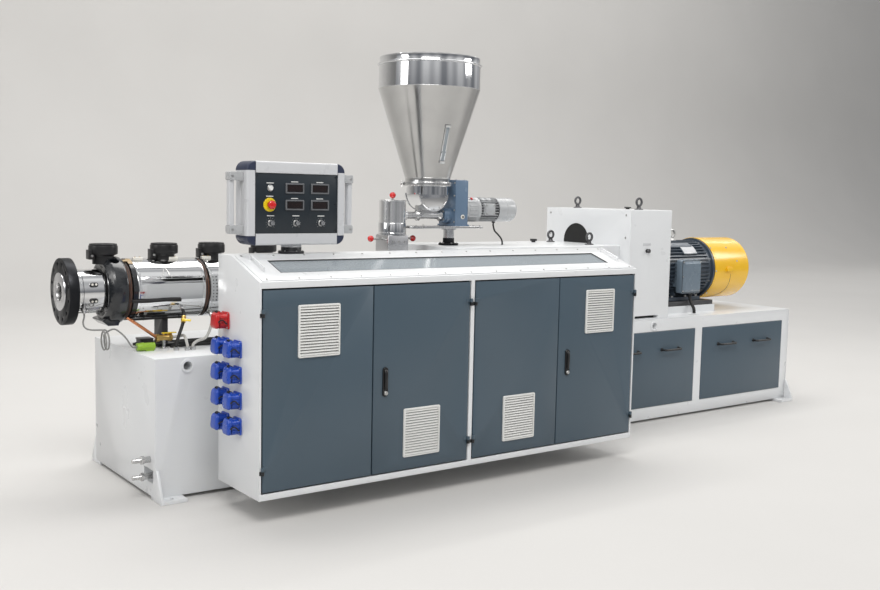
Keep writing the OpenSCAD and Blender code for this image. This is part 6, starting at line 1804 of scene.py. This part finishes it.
def makeRibTree():
    # Tapered ribs round a drum that lies along X, each swept along a straight line
    tree, given, made = growTree("drumRibs", [("Radius", floatKind, 0.18), ("Height", floatKind, 0.02),
        ("Root", floatKind, 0.007), ("Tip", floatKind, 0.004), ("Start", floatKind, 0.0),
        ("Length", floatKind, 0.5), ("Count", intKind, 36), ("Phase", floatKind, 0.0), ("Finish", materialKind,
        None),])
    stop = plus(tree, given["Start"], given["Length"])
    middle = plus(tree, given["Radius"], times(tree, given["Height"], 0.5))
    begin = addNode(tree, "ShaderNodeCombineXYZ", {"X": given["Start"], "Z": middle})
    end = addNode(tree, "ShaderNodeCombineXYZ", {"X": stop, "Z": middle})
    line = addNode(tree, "GeometryNodeCurvePrimitiveLine", {"Start": begin, "End": end})
    section = addNode(tree, "GeometryNodeCurvePrimitiveQuadrilateral", {"Height": given["Height"],
        "Bottom Width": given["Tip"], "Top Width": given["Root"], "Offset": 0.0}, mode="TRAPEZOID")
    rib = addNode(tree, "GeometryNodeCurveToMesh", {"Curve": line, "Profile Curve": section, "Fill Caps": True})
    spread = addNode(tree, "GeometryNodeMeshLine", {"Count": given["Count"], "Offset": (0.0, 0.0, 0.0)},
        mode="OFFSET")
    index = addNode(tree, "GeometryNodeInputIndex")
    share = mathNode(tree, "DIVIDE", plus(tree, index, given["Phase"]), given["Count"])
    turn = addNode(tree, "ShaderNodeCombineXYZ", {"X": times(tree, share, 2 * pi)})
    ribs = addNode(tree, "GeometryNodeInstanceOnPoints", {"Points": spread, "Instance": rib, "Rotation": turn})
    closeTree(tree, ribs, given["Finish"], made)
    return tree


ribTree = makeRibTree()


def addRibs(name, middle, radius, height, start, length, count, material, slotName, root=7.0, tip=4.0, phase=0.0):
    ribs = grown(ribTree, name, {"Radius": radius / 1000, "Height": height / 1000, "Root": root / 1000,
        "Tip": tip / 1000, "Start": start / 1000, "Length": length / 1000, "Count": count, "Phase": phase,
        "Finish": finishes[material]}, "machine", slotName)
    ribs.data.transform(Matrix.Translation(place([(0, *middle)])[0]))
    return ribs


def addDriveCover(setup):
    x0, x1, y0, y1, z0, z1 = setup["cover"]
    py, pz, r = setup["port"]
    liner, dark, coupling = newShapes(3)
    # Port lined with dark rubber; the coupling's guard shows inside
    addTurned(liner, [(r - 0.4, x0), (r - 0.4, x0 + 89.4), (0, x0 + 89.4), (0, x0 + 88), (r - 3, x0 + 88),
        (r - 3, x0 + 0.4)], (0, py, pz), 64, (1, 0, 0))
    makePiece(liner, "portLiner", "black_rubber", "rubber", sharp=30)
    addTurned(coupling, at(0, x0, (58, 60), (62, 62), (62, 80), (58, 88), (0, 88)), (0, py, pz), 48, (1, 0, 0))
    makePiece(coupling, "portCoupling", "dark_steel", "darkSteel", sharp=30)
    # A black strip in the slot under the cover's front edge: painted shade in the gap
    addBox(dark, (x0, y0 + 37, z0 + 6.4), (x0 + 284.6, y0 + 39.4, z0 + 23.6))
    makePiece(dark, "slotShade", "black_rubber", "rubber")
    # Door of the cover's front: a bare plate and a knob
    knob, plate = newShape(), newShape()
    addTurned(knob, [(13, 0), (13, 2.4), (7, 3.4), (7, 10), (12, 12), (13.5, 15), (13.5, 20), (11, 23),
        (0, 23)], (3002, y0, 1099), 32, (0, -1, 0))
    makePiece(knob, "coverKnob", "black_plastic", "darkSteel")
    addBox(plate, (2966, y0 - 1.2, 1132), (3034, y0 + 0.5, 1150))
    makePiece(plate, "coverPlate", "panel_aluminium", "aluminium", bevel=0.4)
    spots = []
    for x in (x0 + 24, x1 - 24):
        for z in (z0 + 64, (z0 + z1) / 2 + 40, z1 - 34):
            spots.append(((x, y1, z), (0, 1, 0)))
    for y in (y0 + 40, y1 - 40):
        for z in (z0 + 522, z1 - 34):
            spots.append(((x0, y, z), (-1, 0, 0)))
    addScrews("coverBolts", spots, radius=5.0, height=3.4, washer=1.4, slotName="white_paint")
    # Breather caps
    caps = newShape()
    for spot, d, tall in (((3105, 883, z1), 23, 16), ((2545, 1173, 1132), 23, 22)):
        addTurned(caps, [(d * 0.6, 0.1), (d * 0.6, 4), (d * 0.5, 5), (d * 0.5, 7), (d - 1.5, 8), (d - 0.3, 9.5),
            (d - 0.3, tall - 2), (d - 2.5, tall - 0.3), (0, tall - 0.3)], spot, 40)
    makePiece(caps, "breatherCaps", "black_plastic", "blackPlastic", sharp=40)


def addEye(shape, x, y, z, ring):
    addTurned(shape, [(ring * 0.45, 0.1), (ring * 0.45, 3), (ring * 0.40, 6), (ring * 0.26, 7),
        (ring * 0.225, ring * 0.2), (ring * 0.2, ring * 0.34)], (x, y, z), 32)
    addTorus(shape, (x, y, z + ring * 0.78), (0, 1, 0), ring * 0.38, ring * 0.118, 48, 16)


def addEyes(setup):
    shape, single = newShape(), newShape()
    for x, y, z, ring in setup["eyes"]:
        addEye(shape, x, y, z, ring)
    makePiece(shape, "liftingEyeRings", "brushed_steel", "darkSteel", stands="lifting_eyes", sharp=36)
    addEye(single, *setup["motorEye"])
    makePiece(single, "motorEyeRing", "brushed_steel", "zinc", sharp=36)


def addMotor(setup):
    x0, x1 = setup["motor"]
    y, z, core, rib = setup["y"], setup["z"], setup["core"], setup["rib"]
    body, feet, spots = newShape(), newShape(), []
    addTurned(body, [*at(0, x0, (0, 0.2), (197, 0.2), (197, 30), (194, 34), (191, 46)), (core + 1, x0 + 50),
        (core, x0 + 54), (core, x1 - 46), (core + 3, x1 - 42), (196, x1 - 36), (197, x1 - 30), (197, x1 - 14),
        (213.6, x1 - 13.8), (213.6, x1), (0, x1)], (0, y, z), 128, (1, 0, 0))
    # Smooth saddle on top for the name plate and the eye
    addShellBox(body, x0 + 60, x1 - 150, core - 3, 52, 66, rib + 4, 6)
    addRod(body, (setup["motorEye"][0], y, z + core - 6), (setup["motorEye"][0], y, z + 198), 34, 40, 2)
    makePiece(body, "motorBody", "motor_paint", "motorGrey", stands="motor_frame", sharp=26)
    addRibs("motorRibs", (y, z), core - 1, rib + 0.6, x0 + 48, x1 - x0 - 84, setup["ribs"], "motorGrey",
        "motor_paint", 8.0, 4.4)
    top = setup["plateTop"]
    for s in (-1, 1):
        mid = y + s * setup["rails"]
        addRoundedBox(feet, (x0 + 90, mid - 40, top + 0.2), (x1 - 110, mid + 40, top + 26), 8, "z")
        for gx in (x0 + 110, x0 + 315, x0 + 520):
            inner, outer = mid - s * 39, mid + s * 13
            addPrism(feet, [(outer, top + 24), (inner, top + 24), (inner, z - 112), (inner + s * 14, z - 112),
                (outer, top + 44)], gx, gx + 16, "x")
        for bx in (x0 + 150, x0 + 285, x0 + 420, x0 + 530):
            spots.append(((bx, mid + s * 20, top + 26), (0, 0, 1)))
    makePiece(feet, "motorFeet", "motor_paint", "motorGrey", bevel=1.5)
    addScrews("motorFootBolts", spots, radius=9.0, height=9.0, washer=1.35, recess=0.45)
    bolts = [(around(x1 - 22, 197, 22.5 + 45 * k), outward(22.5 + 45 * k)) for k in range(8)]
    addScrews("shieldBolts", bolts, radius=6.0, height=4.0, washer=1.2)
    # Bare name plate on its pad, bent with the drum
    plate, pad = newShape(), newShape()
    addShellBox(pad, 3618, 3762, core + 4, 34, 57, rib - 4.5, 8)
    addShellBox(plate, 3624, 3756, core + rib - 1.2, 36, 55.5, 1.4, 8)
    makePiece(pad, "plateHolder", "motor_paint", "motorGrey", bevel=1.0)
    makePiece(plate, "namePlate", "panel_aluminium", "aluminium", bevel=0.4)
    addScrews("plateRivets", [(around(px, core + rib + 0.1, a), outward(a)) for px in (3630, 3750)
        for a in (38, 53.5)], radius=1.8, height=1.2, washer=1.1, recess=0.4)


def addTerminalBox(setup):
    x0, x1, z0, z1 = setup["box"]
    front, back = 737.0, 787.0
    (tray, lid, gasket, gland), spots = newShapes(4), []
    addRoundedBox(tray, (x0 + 0.2, front + 1, z0 + 0.3), (x1 - 0.2, back - 0.2, z1 - 0.3), 16)
    addRoundedBox(tray, (x0 + 12, back - 1, z0 + 38), (x1 - 12, back + 62, z1 - 20), 12)
    addRoundedBox(gasket, (x0 + 4, front - 1.5, z0 + 5), (x1 - 4, front + 1.5, z1 - 5), 14)
    # Lid pressed from sheet: flat rim, sloped flanks and a flat face
    rings = []
    for inset, out in ((6, 0), (6, -3.5), (13, -4.2), (22, -15.8), (24, -16)):
        outline = roundedOutline((x0 + inset, z0 + inset + 2), (x1 - inset, z1 - inset - 2),
            max(16 - inset * 0.3, 6), 8)
        rings.append([(a, front + out, b) for a, b in outline])
    addRings(lid, rings, capped=True)
    for px in (x0 + 13, x1 - 13):
        for pz in (z0 + 17, (z0 + z1) / 2, z1 - 17):
            spots.append(((px, front - 3.6, pz), (0, -1, 0)))
    makePiece(tray, "terminalTray", "motor_paint", "boxGrey", bevel=2.0, stands="terminal_box")
    makePiece(gasket, "terminalGasket", "black_rubber", "rubber")
    makePiece(lid, "terminalLid", "motor_paint", "boxGrey", bevel=1.2, sharp=40)
    addScrews("terminalScrews", spots, radius=4.0, height=3.4)
    gx, gy, gz = setup["gland"]
    addTurned(gland, [(12.2, 0.2), (14, 1.5), (14.8, 3), (14.8, 5)], (gx, gy, gz), 32)
    addHexagon(gland, (gx, gy, gz + 4), (gx, gy, gz + 12), 35)
    addTurned(gland, [(15, 12), (15, 16.5)], (gx, gy, gz), 32)
    makePiece(gland, "terminalGland", "black_plastic", "blackPlastic", sharp=30)


def addCowl(setup):
    x0, x1, r = setup["cowl"]
    base = (0, setup["y"], setup["z"])
    cowl, lug, seam = newShapes(3)
    edge = [(r - 26 + 26 * cos(a), x1 - 26 + 26 * sin(a)) for a in [radians(9 * k) for k in range(11)]]
    addTurned(cowl, [*at(r, x0, (-3.4, 0.6), (-1, 0.2), (0, 1.4), (0, 12), (-1.3, 14), (-1.3, 17), (0, 19)),
        *edge, (168, x1 - 0.2), (166, x1 - 3), (r - 28, x1 - 3.4), (r - 3.4, x1 - 28)], base, 144, (1, 0, 0),
        closedLoop=True)
    makePiece(cowl, "cowlShell", "yellow_paint", "yellow", stands="motor_cowl", sharp=30)
    lx0, lx1, ly0, ly1, lz0, lz1 = setup["lug"]
    addRoundedBox(lug, (lx0 + 0.2, ly0 + 0.3, lz0 + 0.2), (lx1 - 0.2, ly1 + 4, lz1 - 0.2), 5)
    addRoundedBox(lug, (lx0 + 8, ly0 + 8, lz1 - 3), (lx1 - 8, ly1 + 5, lz1 + 6), 3)
    makePiece(lug, "cowlLug", "yellow_paint", "yellow", bevel=1.5)
    # Open joint in the rolled sheet
    path = [around(sx, r + 0.1, a) for sx, a in ((4068, -9), (4074, -22), (4080, -36), (4072, -48), (4044, -60),
        (3990, -70))]
    addTube(seam, smoothPath(path, 48), 1.5, 8)
    makePiece(seam, "cowlJoint", "black_rubber", "rubber")
    spots = [(x0 + 9, a) for a in (44, -2, -50, 90, 136, 182, 228)] + [(4075, 44), (4137, 15.5)]
    screws = [(around(sx, r + 0.1, a), outward(a)) for sx, a in spots]
    addScrews("cowlScrews", screws, radius=4.6, height=3.2)
    # A black disc behind the guard, painted shade inside the cowl, with a hub at its middle
    inner = newShape()
    addTurned(inner, [(0, x1 - 16), (171, x1 - 16), (171, x1 - 14), (0, x1 - 14)], base, 64, (1, 0, 0))
    hub = [(0, x1 - 14.2), (44, x1 - 14.2), (44, x1 - 8), (36, x1 - 5), (0, x1 - 5)]
    addTurned(inner, hub, base, 48, (1, 0, 0))
    makePiece(inner, "cowlShade", "black_plastic", "rubber", sharp=30)
    grown(guardTree, "cowlGuard", {"Outer": 0.169, "Inner": 0.022, "Rings": 13, "Spokes": 6, "Wire": 0.0016,
        "Finish": finishes["yellow"]}, "machine", "yellow_paint", base=pointMesh("cowlGuard",
        [((x1 - 1.9, setup["y"], setup["z"]), (1, 0, 0))]))


def addFeederMotor(setup):
    x0, z, length, r = setup["motor"]
    y = setup["y"]
    (gear, body, box, cowl), spots = newShapes(4), []
    addTurned(gear, [(0, x0 + 0.2), *at(r, x0, (9.5, 0.2), (9.5, 10), (8, 12), (-4, 13), (-6, 18), (-6, 24),
        (-3.5, 32), (-3.5, 84), (-1, 90), (-0.3, 92), (-0.3, 111), (-3, 114), (-10, 117)), (0, x0 + 117)],
        (0, y, z), 72, (1, 0, 0))
    # The dark steel core between the ribs and the dark ring at the cowl's start are painted shade in the gaps
    addTurned(body, [(r - 12, x0 + 112), (r - 12, x0 + 250)], (0, y, z), 72, (1, 0, 0))
    addTurned(body, [(0, x0 + 246), *at(r, x0, (-9, 246), (-5, 249), (-5, 254)), (0, x0 + 254)], (0, y, z), 72,
        (1, 0, 0))
    c0, c1 = x0 + 252.5, x0 + length
    edge = [(r - 24.3 + 22 * cos(a), c1 - 22.3 + 22 * sin(a)) for a in [radians(9 * k) for k in range(11)]]
    addTurned(cowl, [*at(r, c0, (-5, 0), (-2.3, 0.6), (-2.3, 60), (-3.4, 61), (-3.4, 64), (-2.3, 65)), *edge,
        (34, c1 - 0.3), (33, c1 - 2.4), (r - 26, c1 - 2.6), (r - 5, c1 - 24)], (0, y, z), 96, (1, 0, 0),
        closedLoop=True)
    for k in range(8):
        a = radians(22.5 + 45 * k)
        spots.append(((x0 + 12, y + (r + 4.6) * cos(a), z + (r + 4.6) * sin(a)), (1, 0, 0)))
        if k % 2:
            spots.append(((x0 + 101, y + (r - 0.2) * cos(a), z + (r - 0.2) * sin(a)), (0, cos(a), sin(a))))
    # Junction box on the front flank and round inspection caps on the gear part
    addRoundedBox(box, (x0 + 134, y - r - 1, z - 34), (x0 + 214, y - r + 30, z + 38), 9)
    addRoundedBox(box, (x0 + 139, y - r - 6, z - 29), (x0 + 209, y - r, z + 33), 12)
    for bx, bz in ((x0 + 146, z - 22), (x0 + 202, z - 22), (x0 + 146, z + 26), (x0 + 202, z + 26)):
        spots.append(((bx, y - r - 6, bz), (0, -1, 0)))
    for bx, a in ((x0 + 150, 62), (x0 + 192, 62)):
        side = outward(a)
        addTurned(box, [(17, 0), (17, 12.4), (15, 14.4), (12, 14.4), (11, 12.4), (0, 12.4)],
            Vector((bx, y, z)) + side * (r - 16), 32, side)
    makePiece(gear, "feederGear", "brushed_steel", "castAlu", stands="feeder_motor", sharp=28)
    # Dark steel on the core: painted shade between the ribs
    makePiece(body, "feederShadedCore", "brushed_steel", "darkSteel", sharp=28)
    makePiece(box, "feederBox", "brushed_steel", "castAlu", bevel=1.2)
    makePiece(cowl, "feederCowl", "brushed_steel", "castAlu", sharp=34)
    addRibs("feederGearRibs", (y, z), r - 4, 3.4, x0 + 26, 60, 20, "castAlu", "brushed_steel", 7.0, 4.0)
    addRibs("feederRibs", (y, z), r - 12.5, 10.0, x0 + 117, 130, 26, "castAlu", "brushed_steel", 4.6, 2.6, 0.5)
    addScrews("feederScrews", spots, radius=3.8, height=3.4, washer=1.25)
    plug = newShape()
    side = outward(58)
    addHexagon(plug, Vector((x0 + 58, y, z)) + side * (r - 4), Vector((x0 + 58, y, z)) + side * (r + 3), 17)
    addTurned(plug, [(8, r + 3), (8, r + 5), (6, r + 6.5), (0, r + 6.5)], (x0 + 58, y, z), 20, side)
    makePiece(plug, "feederOilPlug", "red_plastic", "redPlastic")
    gland = newShape()
    addTurned(gland, [(8, 0.3), (10.6, 2), (10.6, 12)], (2056, y, 1262), 24)
    addHexagon(gland, (2056, y, 1268), (2056, y, 1274), 20.6)
    makePiece(gland, "feederGland", "black_plastic", "blackPlastic")


addDriveCover(driveSetup)
addEyes(driveSetup)
addMotor(driveSetup)
addTerminalBox(driveSetup)
addCowl(driveSetup)
addFeederMotor(feedSetup)
print("drive dressed")


# Plain finishes on the CAD pieces that keep their own meshes

nodeFinishes = {"window_glass": "glass", "barrel": "darkSteel"}
for nodeName, finish in nodeFinishes.items():
    mesh = nodes[nodeName].data
    mesh.materials.clear()
    mesh.materials.append(finishes[finish])
print("CAD pieces finished")
